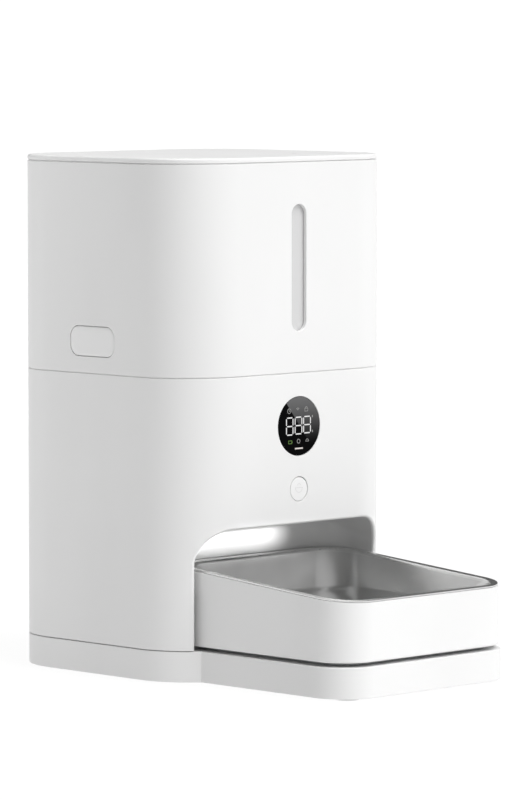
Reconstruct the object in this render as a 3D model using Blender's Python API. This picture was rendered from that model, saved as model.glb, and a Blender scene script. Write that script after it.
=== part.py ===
"""Automatic pet feeder with a lift-off food hopper, a portion rotor and a pull-out weighing bowl.

Metres, +Z up. The feeder faces -Y and stands on the plane z = 0, with the origin under the middle of
its overall length and width. Each object is one physical piece.
"""

import math

import bmesh
import bpy
from mathutils import Matrix, Vector

# Fits and walls
GAP = 0.0003
SEAM = 0.0005
SHELL_WALL = 0.0025
SHELL_EDGE = 0.0004
RUNNING_CLEARANCE = 0.00008

# Body column and the tray in front of it
BODY_WIDTH = 0.196
BODY_DEPTH = 0.176
BODY_CORNER = 0.045
TRAY_SIDE = 0.019
TRAY_REACH = 0.117
TRAY_CORNER = 0.0265
TRAY_ROOT = 0.060
FOOT_PROUD = 0.0015
BASE_HEIGHT = 0.0198
HOUSING_HEIGHT = 0.1722
HOPPER_HEIGHT = 0.134
LID_HEIGHT = 0.004

TRAY_WIDTH = BODY_WIDTH - 2 * TRAY_SIDE
TOTAL_DEPTH = BODY_DEPTH + TRAY_REACH
TRAY_FRONT_Y = -TOTAL_DEPTH / 2
BODY_FRONT_Y = TRAY_FRONT_Y + TRAY_REACH
BODY_BACK_Y = BODY_FRONT_Y + BODY_DEPTH
BODY_Y = (BODY_FRONT_Y + BODY_BACK_Y) / 2
BASE_BOTTOM = FOOT_PROUD
BASE_TOP = BASE_BOTTOM + BASE_HEIGHT
HOUSING_TOP = BASE_TOP + HOUSING_HEIGHT
HOPPER_TOP = HOUSING_TOP + HOPPER_HEIGHT
LID_TOP = HOPPER_TOP + LID_HEIGHT

# Base fittings
BASE_DECK = 0.0025
COVER_THICKNESS = 0.002
FOOT_RADIUS = 0.008
BOSS_RADIUS = 0.0038
SCREW_SHANK = 0.0013
SCREW_HOLE = SCREW_SHANK + GAP
SCREW_HEAD = 0.0026
SCREW_HEAD_HEIGHT = 0.0011
SCREW_LENGTH = 0.011
HOUSING_SCREW_LENGTH = 0.014

# Battery bay for three D cells lying side by side
CELL_LENGTH = 0.0615
CELL_DIAMETER = 0.0342
CELL_COUNT = 3
CELL_SPRING_ROOM = 0.0055
BATTERY_WALL = 0.0016
BATTERY_BAY_Y = 0.0805
DOOR_OVERLAP = 0.0005
DOOR_CLEARANCE = 0.0004

# Bowl opening and recess
BAY_SIDE_GAP = 0.004
BAY_HEIGHT = 0.0955
BAY_CORNER = 0.022
BAY_WALL = 0.002
BAY_BACK_GAP = 0.0035
BAY_BACK_CORNER = 0.025
BAY_ROOF_CORNER = 0.008

# Bowl
HOLDER_SIDE = 0.002
HOLDER_SETBACK = 0.001
HOLDER_IN_BODY = 0.042
HOLDER_WIDTH = TRAY_WIDTH - 2 * HOLDER_SIDE
HOLDER_DEPTH = TRAY_REACH - HOLDER_SETBACK + HOLDER_IN_BODY
HOLDER_CORNER = 0.025
BAY_HALF_WIDTH = HOLDER_WIDTH / 2 + BAY_SIDE_GAP
HOLDER_LIFT = 0.0023
RIM_FRONT_HEIGHT = BAY_HEIGHT - 0.035
RIM_SLOPE = 0.08
STEEL_THICKNESS = 0.001
STEEL_SETBACK = 0.0005
STEEL_WELL_INSET = 0.0036
STEEL_BEND = 0.0022
STEEL_FLOOR_RISE = 0.0054
STEEL_DEPTH = RIM_FRONT_HEIGHT - BASE_HEIGHT - HOLDER_LIFT - STEEL_FLOOR_RISE
STEEL_FLOOR_ROUND = STEEL_DEPTH * 2 / 3
STEEL_WALL_SLANT = 0.007
HOLDER_WALL = 0.0022
HOLDER_FLOOR = 0.0022
PLATFORM_THICKNESS = 0.0019
PLATFORM_INSET = 0.009

# Front panel
DISPLAY_DROP = 0.034
DISPLAY_RADIUS = 0.01875
BUTTON_DROP = 0.0403
BUTTON_RADIUS = 0.0077
BUTTON_TRAVEL = 0.0012
BUTTON_STEM = 0.0022
WINDOW_WIDTH = 0.013
WINDOW_RISE = 0.0265
WINDOW_DROP = 0.0267
WINDOW_LAP = 0.007
WINDOW_THICKNESS = 0.0012
PANEL_CLEARANCE = 0.0003

# Portion drum and rotor
ROTOR_RADIUS = 0.060
ROTOR_HUB = 0.030
ROTOR_VANES = 6
VANE_THICKNESS = 0.002
VANE_HEIGHT = 0.028
DRUM_CLEARANCE = 0.0015
DRUM_WALL = 0.002
DRUM_FLOOR = 0.002
DRUM_DEPTH = 0.039
DECK_DROP = 0.0045
DECK_THICKNESS = 0.002
DROP_HALF_ANGLE = math.radians(26.0)
ROTOR_STEM = 0.004
CHUTE_WALL = 0.0016

# Gears and motor
GEAR_TO_CHUTE = 0.0015
GEAR_TEETH = 48
PINION_TEETH = 12
PRESSURE_ANGLE = math.radians(20.0)
GEAR_BACKLASH = 0.00025
GEAR_WIDTH = 0.007
MOTOR_RADIUS = 0.0125
MOTOR_LENGTH = 0.030

# Hopper
LINER_INSET = 0.0055
LINER_WALL = 0.0018
FUNNEL_HEIGHT = 0.0425
THROAT_RADIUS = ROTOR_RADIUS - 0.002
THROAT_LENGTH = 0.0045
RELEASE_WIDTH = 0.0405
RELEASE_HEIGHT = 0.0229
RELEASE_CORNER = 0.0098
RELEASE_RISE = 0.0184
RELEASE_CLEARANCE = 0.00035
RELEASE_TRAVEL = 0.0025
LEG_WIDTH = 0.014
LEG_THICKNESS = 0.002

# Lid
LID_ROUND = 0.0015
LID_CROWN = 0.0004
PLUG_DEPTH = 0.009
PLUG_WALL = 0.0016
SEAL_THICKNESS = 0.0018
DESICCANT_RADIUS = 0.030

# Facets
CORNER_STEPS = 8
INNER_STEPS = 5
BOWL_STEPS = 6
TURNED_STEPS = 20
FINE_STEPS = 32

FINISHES = {
    "shell_white": ((0.90, 0.90, 0.90), 0.38, 0.0),
    "bay_white": ((0.86, 0.86, 0.86), 0.30, 0.0),
    "bowl_white": ((0.91, 0.91, 0.91), 0.30, 0.0),
    "button_white": ((0.89, 0.89, 0.89), 0.35, 0.0),
    "tank_clear": ((0.72, 0.73, 0.74), 0.25, 0.0),
    "window_grey": ((0.60, 0.60, 0.60), 0.30, 0.0),
    "inner_grey": ((0.42, 0.43, 0.44), 0.50, 0.0),
    "gear_cream": ((0.85, 0.82, 0.72), 0.40, 0.0),
    "rotor_grey": ((0.30, 0.31, 0.32), 0.55, 0.0),
    "bowl_steel": ((0.62, 0.62, 0.62), 0.28, 1.0),
    "spring_steel": ((0.66, 0.66, 0.66), 0.30, 1.0),
    "screw_steel": ((0.50, 0.50, 0.50), 0.35, 1.0),
    "cell_aluminium": ((0.75, 0.75, 0.76), 0.35, 1.0),
    "motor_metal": ((0.58, 0.58, 0.58), 0.35, 1.0),
    "display_black": ((0.01, 0.01, 0.012), 0.08, 0.0),
    "board_green": ((0.03, 0.16, 0.08), 0.45, 0.0),
    "module_black": ((0.03, 0.03, 0.03), 0.50, 0.0),
    "foot_rubber": ((0.16, 0.16, 0.16), 0.85, 0.0),
    "seal_silicone": ((0.80, 0.80, 0.79), 0.60, 0.0),
    "desiccant_white": ((0.86, 0.86, 0.84), 0.60, 0.0),
}


# ---------------------------------------------------------------- helpers


def clear_scene():
    """Remove every object that is already in the scene."""
    for leftover in list(bpy.data.objects):
        bpy.data.objects.remove(leftover, do_unlink=True)


def finish(slot):
    """Return the Principled material of one finish, made on first use."""
    if slot in bpy.data.materials:
        return bpy.data.materials[slot]
    colour, roughness, metallic = FINISHES[slot]
    material = bpy.data.materials.new(slot)
    material.use_nodes = True
    shader = material.node_tree.nodes["Principled BSDF"]
    shader.inputs["Base Color"].default_value = (*colour, 1.0)
    shader.inputs["Roughness"].default_value = roughness
    shader.inputs["Metallic"].default_value = metallic
    material.diffuse_color = (*colour, 1.0)
    return material


def add_object(name, body, slot=None, location=(0.0, 0.0, 0.0)):
    """Turn a bmesh into a named object; a piece without a finish is a hidden guide."""
    bmesh.ops.recalc_face_normals(body, faces=body.faces)
    mesh = bpy.data.meshes.new(name)
    body.to_mesh(mesh)
    body.free()
    mesh.shade_smooth()
    mesh.set_sharp_from_angle(angle=math.radians(35.0))
    piece = bpy.data.objects.new(name, mesh)
    piece.location = location
    bpy.context.collection.objects.link(piece)
    if slot:
        mesh.materials.append(finish(slot))
    else:
        piece.hide_render = True
        piece.display_type = "WIRE"
    return piece


def combine(piece, guide, operation="DIFFERENCE"):
    """Cut a guide out of a piece, or join it on."""
    modifier = piece.modifiers.new(guide.name, "BOOLEAN")
    modifier.operation = operation
    modifier.solver = "EXACT"
    modifier.object = guide
    return piece


def rounded_rectangle(width, depth, radius, centre=(0.0, 0.0), steps=CORNER_STEPS):
    """Outline of a rounded rectangle, anticlockwise."""
    points = []
    for quarter, (side_x, side_y) in enumerate(((1, 1), (-1, 1), (-1, -1), (1, -1))):
        arc_x = centre[0] + side_x * (width / 2 - radius)
        arc_y = centre[1] + side_y * (depth / 2 - radius)
        for step in range(steps + 1):
            angle = (quarter + step / steps) * math.pi / 2
            points.append((arc_x + radius * math.cos(angle), arc_y + radius * math.sin(angle)))
    return points


def circle(radius, steps=TURNED_STEPS, centre=(0.0, 0.0)):
    """Outline of a circle, anticlockwise."""
    turns = [2 * math.pi * step / steps for step in range(steps)]
    return [(centre[0] + radius * math.cos(turn), centre[1] + radius * math.sin(turn)) for turn in turns]


def level(outline, height):
    """Lay an outline flat at one height."""
    return [(x, y, height) for x, y in outline]


def skin(body, loops, ring=False):
    """Join a stack of equal loops with faces, and cap it or close it into a ring."""
    rows = [[body.verts.new(point) for point in loop] for loop in loops]
    pairs = list(zip(rows, rows[1:]))
    if ring:
        pairs.append((rows[-1], rows[0]))
    else:
        body.faces.new(list(reversed(rows[0])))
        body.faces.new(rows[-1])
    for lower, upper in pairs:
        for here, below in enumerate(lower):
            beside = (here + 1) % len(lower)
            body.faces.new((below, lower[beside], upper[beside], upper[here]))
    return body


def loft(name, loops, slot=None, location=(0.0, 0.0, 0.0), ring=False):
    """Make a piece from a stack of loops."""
    return add_object(name, skin(bmesh.new(), loops, ring), slot, location)


def slab(name, outline, low, high, slot=None, location=(0.0, 0.0, 0.0)):
    """Raise an outline into a plate between two heights."""
    return loft(name, [level(outline, low), level(outline, high)], slot, location)


def slabs(name, outlines, low, high, slot=None):
    """Raise several separate outlines between the same two heights, as one guide."""
    body = bmesh.new()
    for outline in outlines:
        skin(body, [level(outline, low), level(outline, high)])
    return add_object(name, body, slot)


def turned(name, profile, slot=None, location=(0.0, 0.0, 0.0), steps=TURNED_STEPS, ring=False):
    """Turn a profile of (radius, height) points about Z."""
    loops = [level(circle(radius, steps), height) for radius, height in profile]
    return loft(name, loops, slot, location, ring)


def turned_about_y(name, profile, slot=None, location=(0.0, 0.0, 0.0), steps=TURNED_STEPS):
    """Turn a profile of (radius, distance back) points about Y."""
    loops = [[(x, back, -z) for x, z in circle(radius, steps)] for radius, back in profile]
    return loft(name, loops, slot, location)


def box(name, low, high, slot=None, location=(0.0, 0.0, 0.0)):
    """Make a block between two corners."""
    outline = [(low[0], low[1]), (high[0], low[1]), (high[0], high[1]), (low[0], high[1])]
    return slab(name, outline, low[2], high[2], slot, location)


def body_outline(inset=0.0, steps=CORNER_STEPS):
    """Outline of the body column, drawn in by an inset."""
    width = BODY_WIDTH - 2 * inset
    depth = BODY_DEPTH - 2 * inset
    return rounded_rectangle(width, depth, BODY_CORNER - inset, steps=steps)


def inner_outline(inset):
    """Outline of a piece inside the body column, with fewer facets."""
    return body_outline(inset, INNER_STEPS)


def tray_outline(inset=0.0, steps=CORNER_STEPS):
    """Outline of the tray with its root inside the body, drawn in by an inset."""
    depth = TRAY_REACH + TRAY_ROOT
    middle = TRAY_FRONT_Y + depth / 2
    size = (TRAY_WIDTH - 2 * inset, depth - 2 * inset)
    return rounded_rectangle(*size, TRAY_CORNER - inset, (0.0, middle), steps)


def side_pairs(half_width, places):
    """Mirror-image points to the left and right, at each (y) place."""
    return [(side * half_width, place) for place in places for side in (-1, 1)]


# ---------------------------------------------------------------- base


COVER_SCREW_X = TRAY_WIDTH / 2 - 0.013
COVER_SCREWS = side_pairs(COVER_SCREW_X, (TRAY_FRONT_Y + 0.034, BODY_FRONT_Y + 0.024, BODY_BACK_Y - 0.018))
HOUSING_SCREW_X = BODY_WIDTH / 2 - SHELL_WALL - BOSS_RADIUS + 0.001
HOUSING_SCREWS = side_pairs(HOUSING_SCREW_X, (BODY_Y - 0.036, BODY_Y + 0.036))
CELL_BAY = (CELL_LENGTH + CELL_SPRING_ROOM, CELL_COUNT * CELL_DIAMETER + 0.002, CELL_DIAMETER + 0.0018)
LOAD_POST = (0.0, TRAY_FRONT_Y + 0.045)
LOAD_ROOT = (0.0, TRAY_FRONT_Y + 0.105)
CABLE_HOLE = (0.040, BODY_FRONT_Y + 0.040)


def battery_outline(margin):
    """Rectangle around the cell bay, grown by a margin."""
    half_x = CELL_BAY[0] / 2 + margin
    half_y = CELL_BAY[1] / 2 + margin
    return [
        (-half_x, BATTERY_BAY_Y - half_y),
        (half_x, BATTERY_BAY_Y - half_y),
        (half_x, BATTERY_BAY_Y + half_y),
        (-half_x, BATTERY_BAY_Y + half_y),
    ]


def make_base_tray():
    """One-piece base: the body's foot and the tray, hollow from below, with screw bosses inside."""
    top = BASE_TOP - SEAM / 2
    ceiling = top - BASE_DECK
    cover_top = BASE_BOTTOM + COVER_THICKNESS
    below = -0.010
    here = (0.0, BODY_Y, 0.0)
    loops = [level(body_outline(), BASE_BOTTOM), level(body_outline(), top)]
    base = loft("base_tray", loops, "shell_white", here)
    tray_loops = [
        level(tray_outline(), BASE_BOTTOM),
        level(tray_outline(), top - SHELL_EDGE),
        level(tray_outline(SHELL_EDGE), top),
    ]
    combine(base, loft("tray_guide", tray_loops), "UNION")
    combine(base, slab("base_hollow", body_outline(SHELL_WALL), below, ceiling, None, here))
    combine(base, slab("tray_hollow", tray_outline(SHELL_WALL), below, ceiling))
    bosses = [circle(BOSS_RADIUS, 12, spot) for spot in COVER_SCREWS]
    combine(base, slabs("cover_bosses", bosses, cover_top + GAP, ceiling + BASE_DECK / 2), "UNION")
    load_root = circle(0.0055, 12, LOAD_ROOT)
    combine(base, slab("load_boss", load_root, ceiling - 0.005, ceiling + BASE_DECK / 2), "UNION")
    holes = [circle(SCREW_HOLE, 8, spot) for spot in COVER_SCREWS]
    combine(base, slabs("cover_screw_holes", holes, 0.0, BASE_BOTTOM + COVER_THICKNESS + 0.011))
    through = [circle(SCREW_HOLE, 8, spot) for spot in HOUSING_SCREWS]
    through.append(circle(0.008, 16, LOAD_POST))
    through.append(circle(0.006, 12, CABLE_HOLE))
    through.append(battery_outline(BATTERY_WALL + 0.0006))
    combine(base, slabs("base_openings", through, ceiling - 0.002, top + 0.002))
    return base


def make_bottom_cover():
    """Flat cover that closes the base from below, with a counterbored hole for each screw."""
    edge = SHELL_WALL + GAP
    top = BASE_BOTTOM + COVER_THICKNESS
    cover = slab("bottom_cover", inner_outline(edge), BASE_BOTTOM, top, "shell_white", (0.0, BODY_Y, 0.0))
    combine(cover, slab("cover_tray_guide", tray_outline(edge, INNER_STEPS), BASE_BOTTOM, top), "UNION")
    sinks = [circle(SCREW_HEAD + GAP, 12, spot) for spot in COVER_SCREWS]
    combine(cover, slabs("screw_sinks", sinks, 0.0, BASE_BOTTOM + SCREW_HEAD_HEIGHT + GAP / 2))
    holes = [circle(SCREW_HOLE, 8, spot) for spot in COVER_SCREWS]
    holes.append(battery_outline(DOOR_OVERLAP + DOOR_CLEARANCE))
    combine(cover, slabs("cover_holes", holes, 0.0, top + 0.005))
    return cover


def make_feet():
    """Round rubber pads: four under the body and two under the tray."""
    spots = side_pairs(TRAY_WIDTH / 2 - 0.019, (TRAY_FRONT_Y + 0.016,))
    spots += side_pairs(BODY_WIDTH / 2 - 0.020, (BODY_FRONT_Y + 0.044, BODY_BACK_Y - 0.036))
    profile = [(FOOT_RADIUS - 0.0004, 0.0), (FOOT_RADIUS, 0.0004), (FOOT_RADIUS, FOOT_PROUD - GAP)]
    for number, (x, y) in enumerate(spots, 1):
        turned(f"foot_{number}", profile, "foot_rubber", (x, y, 0.0), 16)


def screw_profile(length):
    """Outline of a pan-head screw standing on its head."""
    return [
        (SCREW_HEAD - 0.0004, 0.0),
        (SCREW_HEAD, 0.0004),
        (SCREW_HEAD, SCREW_HEAD_HEIGHT),
        (SCREW_SHANK, SCREW_HEAD_HEIGHT),
        (SCREW_SHANK, length - SCREW_SHANK),
        (SCREW_SHANK * 0.3, length),
    ]


def make_screws():
    """Six screws hold the bottom cover, and four hold the housing to the base."""
    for number, (x, y) in enumerate(COVER_SCREWS, 1):
        turned(f"cover_screw_{number}", screw_profile(SCREW_LENGTH), "screw_steel", (x, y, BASE_BOTTOM), 8)
    under_deck = BASE_TOP - SEAM / 2 - BASE_DECK - SCREW_HEAD_HEIGHT - GAP
    for number, (x, y) in enumerate(HOUSING_SCREWS, 1):
        profile = screw_profile(HOUSING_SCREW_LENGTH)
        turned(f"housing_screw_{number}", profile, "screw_steel", (x, y, under_deck), 8)


def make_battery_box():
    """Open-bottomed box for the cells, standing on the cover and reaching up into the body."""
    low = BASE_BOTTOM + COVER_THICKNESS + GAP
    high = low + CELL_BAY[2]
    outer = battery_outline(BATTERY_WALL)
    inner = battery_outline(0.0)
    loops = [level(inner, high), level(inner, low), level(outer, low), level(outer, high + BATTERY_WALL)]
    return loft("battery_box", loops, "inner_grey")


def make_battery_door():
    """Flush door under the cells; its rear edge is rounded about the hinge line."""
    half = COVER_THICKNESS / 2
    hinge_y = BATTERY_BAY_Y + CELL_BAY[1] / 2 + DOOR_OVERLAP - half
    half_x = CELL_BAY[0] / 2 + DOOR_OVERLAP
    front = -(CELL_BAY[1] + 2 * DOOR_OVERLAP - half)
    section = [(front, half), (front, -half)]
    for step in range(9):
        angle = -math.pi / 2 + math.pi * step / 8
        section.append((half * math.cos(angle), half * math.sin(angle)))
    loops = [[(x, y, z) for y, z in section] for x in (half_x, -half_x)]
    return loft("battery_door", loops, "shell_white", (0.0, hinge_y, BASE_BOTTOM + half))


def coil(name, radius, wire, length, turns, location, turn_to_x=1, sides=5, slices=10):
    """Coil spring along X, made as a round wire swept on a helix."""
    body = bmesh.new()
    loops = []
    count = turns * slices
    for step in range(count + 1):
        angle = 2 * math.pi * step / slices
        along = wire + (length - 2 * wire) * step / count
        middle = Vector((turn_to_x * along, radius * math.cos(angle), radius * math.sin(angle)))
        outward = Vector((0.0, math.cos(angle), math.sin(angle)))
        loop = []
        for side in range(sides):
            tilt = 2 * math.pi * side / sides
            loop.append(middle + wire * (math.cos(tilt) * outward + math.sin(tilt) * Vector((1.0, 0.0, 0.0))))
        loops.append(loop)
    skin(body, loops)
    return add_object(name, body, "spring_steel", location)


def make_battery_contacts():
    """A coil spring at one end of each cell place and a flat contact at the other."""
    middle = BASE_BOTTOM + COVER_THICKNESS + GAP + CELL_BAY[2] / 2
    for number in range(1, CELL_COUNT + 1):
        place = BATTERY_BAY_Y + (number - (CELL_COUNT + 1) / 2) * CELL_DIAMETER
        wall = CELL_BAY[0] / 2 - GAP
        coil(f"battery_spring_{number}", 0.0060, 0.00045, 0.0045, 2, (-wall, place, middle))
        plate = [(wall - 0.0008, 0.0065), (wall, 0.0065)]
        loops = [[(x, y, z) for y, z in circle(radius, 16)] for x, radius in plate]
        loft(f"battery_contact_{number}", loops, "spring_steel", (0.0, place, middle))


# ---------------------------------------------------------------- weighing and bowl


HOLDER_FRONT = TRAY_FRONT_Y + HOLDER_SETBACK
HOLDER_Y = HOLDER_FRONT + HOLDER_DEPTH / 2
HOLDER_BOTTOM = BASE_TOP + HOLDER_LIFT


def holder_outline(inset):
    """Outline of the bowl holder about its own middle, drawn in by an inset."""
    corner = HOLDER_CORNER - inset
    return rounded_rectangle(HOLDER_WIDTH - 2 * inset, HOLDER_DEPTH - 2 * inset, corner, steps=BOWL_STEPS)


def rim_height(y):
    """Height of the tilted rim plane above the holder's bottom, at a place along the holder."""
    return BASE_BOTTOM + RIM_FRONT_HEIGHT - HOLDER_BOTTOM + RIM_SLOPE * (y + HOLDER_DEPTH / 2)


def tilted(outline, below):
    """Lay an outline on the rim plane, or a distance below it."""
    return [(x, y, rim_height(y) - below) for x, y in outline]


def make_weighing_platform():
    """Plate under the bowl holder, with a post that passes through the tray to the load cell."""
    bottom = BASE_TOP - SEAM / 2 + GAP
    outline = holder_outline(PLATFORM_INSET)
    top = bottom + PLATFORM_THICKNESS
    plate = slab("weighing_platform", outline, bottom, top, "inner_grey", (0.0, HOLDER_Y, 0.0))
    post = circle(0.0055, 16, LOAD_POST)
    combine(plate, slab("platform_post", post, LOAD_CELL_TOP + GAP, bottom + PLATFORM_THICKNESS / 2), "UNION")
    return plate


LOAD_CELL_BOTTOM = BASE_BOTTOM + COVER_THICKNESS + 0.0015
LOAD_CELL_TOP = BASE_TOP - SEAM / 2 - BASE_DECK - 0.005 - GAP


def make_load_cell():
    """Aluminium bar that bends between its root on the base and the platform's post."""
    half = 0.006
    outline = [
        (-half, LOAD_POST[1] - 0.0075),
        (half, LOAD_POST[1] - 0.0075),
        (half, LOAD_ROOT[1] + 0.0075),
        (-half, LOAD_ROOT[1] + 0.0075),
    ]
    bar = slab("load_cell", outline, LOAD_CELL_BOTTOM, LOAD_CELL_TOP, "cell_aluminium")
    middle = (LOAD_POST[1] + LOAD_ROOT[1]) / 2
    height = (LOAD_CELL_BOTTOM + LOAD_CELL_TOP) / 2
    body = bmesh.new()
    for shift in (-0.0035, 0.0035):
        eye = circle(0.0028, 12, (middle + shift * 1.2, height))
        skin(body, [[(x, y, z) for y, z in eye] for x in (0.010, -0.010)])
    combine(bar, add_object("load_cell_eyes", body))
    return bar


def make_bowl_holder():
    """White outer bowl with a tilted rim."""
    depth_of_step = STEEL_THICKNESS + GAP
    loops = [
        level(holder_outline(0.0008), 0.0),
        level(holder_outline(0.0), 0.0008),
        tilted(holder_outline(0.0), depth_of_step + 0.0003),
        tilted(holder_outline(0.0003), depth_of_step),
        tilted(holder_outline(HOLDER_WALL), depth_of_step),
        level(holder_outline(HOLDER_WALL + 0.0006), HOLDER_FLOOR + 0.003),
        level(holder_outline(HOLDER_WALL + 0.0036), HOLDER_FLOOR),
    ]
    return loft("bowl_holder", loops, "bowl_white", (0.0, HOLDER_Y, HOLDER_BOTTOM))


def make_steel_bowl():
    """Pressed steel dish: a flat flange on the holder's rim, slanted walls and a wide rounded floor."""
    thick = STEEL_THICKNESS
    floor = rim_height(-HOLDER_DEPTH / 2) - STEEL_DEPTH
    top_inset = STEEL_WELL_INSET + STEEL_BEND
    low_inset = top_inset + STEEL_WALL_SLANT
    inner = [
        tilted(holder_outline(STEEL_SETBACK + 0.0002), 0.0),
        tilted(holder_outline(STEEL_WELL_INSET), 0.0),
        tilted(holder_outline(STEEL_WELL_INSET + 0.64 * STEEL_BEND), 0.27 * STEEL_BEND),
        tilted(holder_outline(top_inset), STEEL_BEND),
    ]
    outer = [
        tilted(holder_outline(STEEL_SETBACK), thick),
        tilted(holder_outline(STEEL_WELL_INSET - 0.3 * thick), thick),
        tilted(holder_outline(top_inset - thick), STEEL_BEND + 0.6 * thick),
    ]
    steps = 5
    for step in range(steps + 1):
        angle = math.pi / 2 * step / steps
        inset = low_inset + STEEL_FLOOR_ROUND * (1 - math.cos(angle))
        rise = STEEL_FLOOR_ROUND * (1 - math.sin(angle))
        below = rise - thick * math.sin(angle)
        inner.append(level(dish_outline(inset), floor + rise))
        outer.append(level(dish_outline(inset - thick * math.cos(angle)), floor + below))
    return loft("steel_bowl", list(reversed(outer)) + inner, "bowl_steel", (0.0, HOLDER_Y, HOLDER_BOTTOM))


def dish_outline(inset):
    """Outline of the dish below its flange, with corners that stay wide as it narrows."""
    corner = HOLDER_CORNER - STEEL_WELL_INSET
    return rounded_rectangle(HOLDER_WIDTH - 2 * inset, HOLDER_DEPTH - 2 * inset, corner, steps=BOWL_STEPS)


# ---------------------------------------------------------------- housing and bay


BAY_TOP = BASE_BOTTOM + BAY_HEIGHT
BAY_BACK = HOLDER_FRONT + HOLDER_DEPTH + BAY_BACK_GAP


def arch(half_width, top, corner, bottom, steps=6):
    """Arch outline of (x, height) points from the lower right, over the top, to the lower left."""
    points = [(half_width, bottom)]
    for side, start in ((1, 0.0), (-1, math.pi / 2)):
        for step in range(steps + 1):
            angle = start + math.pi / 2 * step / steps
            x = side * (half_width - corner) + corner * math.cos(angle)
            points.append((x, top - corner + corner * math.sin(angle)))
    points.append((-half_width, bottom))
    return points


def wall_depth(x, inset):
    """How far back the body's front wall lies at a place across, for a face drawn in by an inset."""
    radius = BODY_CORNER - inset
    beyond = abs(x) - (BODY_WIDTH / 2 - BODY_CORNER)
    if beyond <= 0:
        return inset
    return inset + radius - math.sqrt(max(radius**2 - beyond**2, 0.0))


def hollow_shell(name, low, high, slot):
    """Body-shaped wall, open above and below, with small chamfers at the seams."""
    loops = [
        level(body_outline(SHELL_EDGE), low),
        level(body_outline(), low + SHELL_EDGE),
        level(body_outline(), high - SHELL_EDGE),
        level(body_outline(SHELL_EDGE), high),
        level(body_outline(SHELL_WALL), high),
        level(body_outline(SHELL_WALL), low),
    ]
    return loft(name, loops, slot, (0.0, BODY_Y, 0.0), ring=True)


def front_prism(name, outline, front, back):
    """Guide that runs a front-view outline of (x, z) points through the front wall."""
    return loft(name, [[(x, y, z) for x, z in outline] for y in (back, front)])


DISPLAY_Z = HOUSING_TOP - DISPLAY_DROP
BUTTON_Z = DISPLAY_Z - BUTTON_DROP
SOCKET_Z = 0.066
SOCKET_HALF = 0.0067
SOCKET_COLLAR = 0.005


def make_housing():
    """Lower shell with the bowl opening, the panel holes, the inlet hole and the screw bosses."""
    low = BASE_TOP + SEAM / 2
    housing = hollow_shell("housing", low, HOUSING_TOP - SEAM / 2, "shell_white")
    opening = arch(BAY_HALF_WIDTH, BAY_TOP, BAY_CORNER, 0.0)
    combine(housing, front_prism("bay_cutter", opening, BODY_FRONT_Y - 0.020, BODY_FRONT_Y + 0.022))
    inside = BODY_FRONT_Y + SHELL_WALL + 0.003
    display = circle(DISPLAY_RADIUS + PANEL_CLEARANCE, FINE_STEPS, (0.0, DISPLAY_Z))
    combine(housing, front_prism("display_cutter", display, BODY_FRONT_Y - 0.003, inside))
    button = circle(BUTTON_RADIUS + PANEL_CLEARANCE, TURNED_STEPS, (0.0, BUTTON_Z))
    combine(housing, front_prism("button_cutter", button, BODY_FRONT_Y - 0.003, inside))
    inlet = circle(SOCKET_COLLAR + PANEL_CLEARANCE, 16, (0.0, SOCKET_Z))
    combine(housing, front_prism("inlet_cutter", inlet, BODY_BACK_Y - 0.006, BODY_BACK_Y + 0.003))
    bosses = [circle(BOSS_RADIUS, 12, spot) for spot in HOUSING_SCREWS]
    combine(housing, slabs("housing_bosses", bosses, low, low + 0.014), "UNION")
    holes = [circle(SCREW_HOLE, 8, spot) for spot in HOUSING_SCREWS]
    combine(housing, slabs("housing_screw_holes", holes, low - 0.002, low + 0.0115))
    return housing


def bay_rows(margin, levels=5):
    """Rows of arch points from the housing wall to the back of the recess, grown by a margin."""
    back = BAY_BACK + margin
    side_round = BAY_BACK_CORNER + margin
    roof_round = BAY_ROOF_CORNER + margin
    bottom = BASE_TOP - SEAM / 2 + GAP
    front = [
        (x, BODY_FRONT_Y + wall_depth(x, SHELL_WALL) + GAP, z)
        for x, z in arch(BAY_HALF_WIDTH + margin, BAY_TOP + margin, BAY_CORNER + margin, bottom)
    ]
    rows = [front]
    for step in range(levels + 1):
        angle = math.pi / 2 * step / levels
        place = back - side_round + side_round * math.sin(angle)
        into_roof = max(place - (back - roof_round), 0.0)
        side_in = side_round * (1 - math.cos(angle))
        roof_in = roof_round - math.sqrt(max(roof_round**2 - into_roof**2, 0.0))
        corner = max(BAY_CORNER + margin - side_in / 2, 0.006)
        outline = arch(BAY_HALF_WIDTH + margin - side_in, BAY_TOP + margin - roof_in, corner, bottom)
        rows.append([(x, place, z) for x, z in outline])
    return rows


def make_bay_liner():
    """Smooth recess behind the bowl opening, open at the front and at the bottom."""
    body = bmesh.new()
    inner = [[body.verts.new(point) for point in row] for row in bay_rows(0.0)]
    outer = [[body.verts.new(point) for point in row] for row in bay_rows(BAY_WALL)]
    for rows in (inner, outer):
        for near, far in zip(rows, rows[1:]):
            for here in range(len(near) - 1):
                body.faces.new((near[here], near[here + 1], far[here + 1], far[here]))
        body.faces.new(rows[-1])
    for here in range(len(inner[0]) - 1):
        body.faces.new((inner[0][here], inner[0][here + 1], outer[0][here + 1], outer[0][here]))
    for end in (0, -1):
        for near in range(len(inner) - 1):
            body.faces.new((inner[near][end], inner[near + 1][end], outer[near + 1][end], outer[near][end]))
    body.faces.new((inner[-1][0], inner[-1][-1], outer[-1][-1], outer[-1][0]))
    liner = add_object("bay_liner", body, "bay_white")
    mouth = rounded_rectangle(CHUTE_EXIT[0], CHUTE_EXIT[1], 0.004, (0.0, CHUTE_EXIT[2]), 3)
    combine(liner, slab("chute_mouth", mouth, BAY_TOP - 0.004, BAY_TOP + BAY_WALL + 0.004))
    return liner


# ---------------------------------------------------------------- front panel


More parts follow.
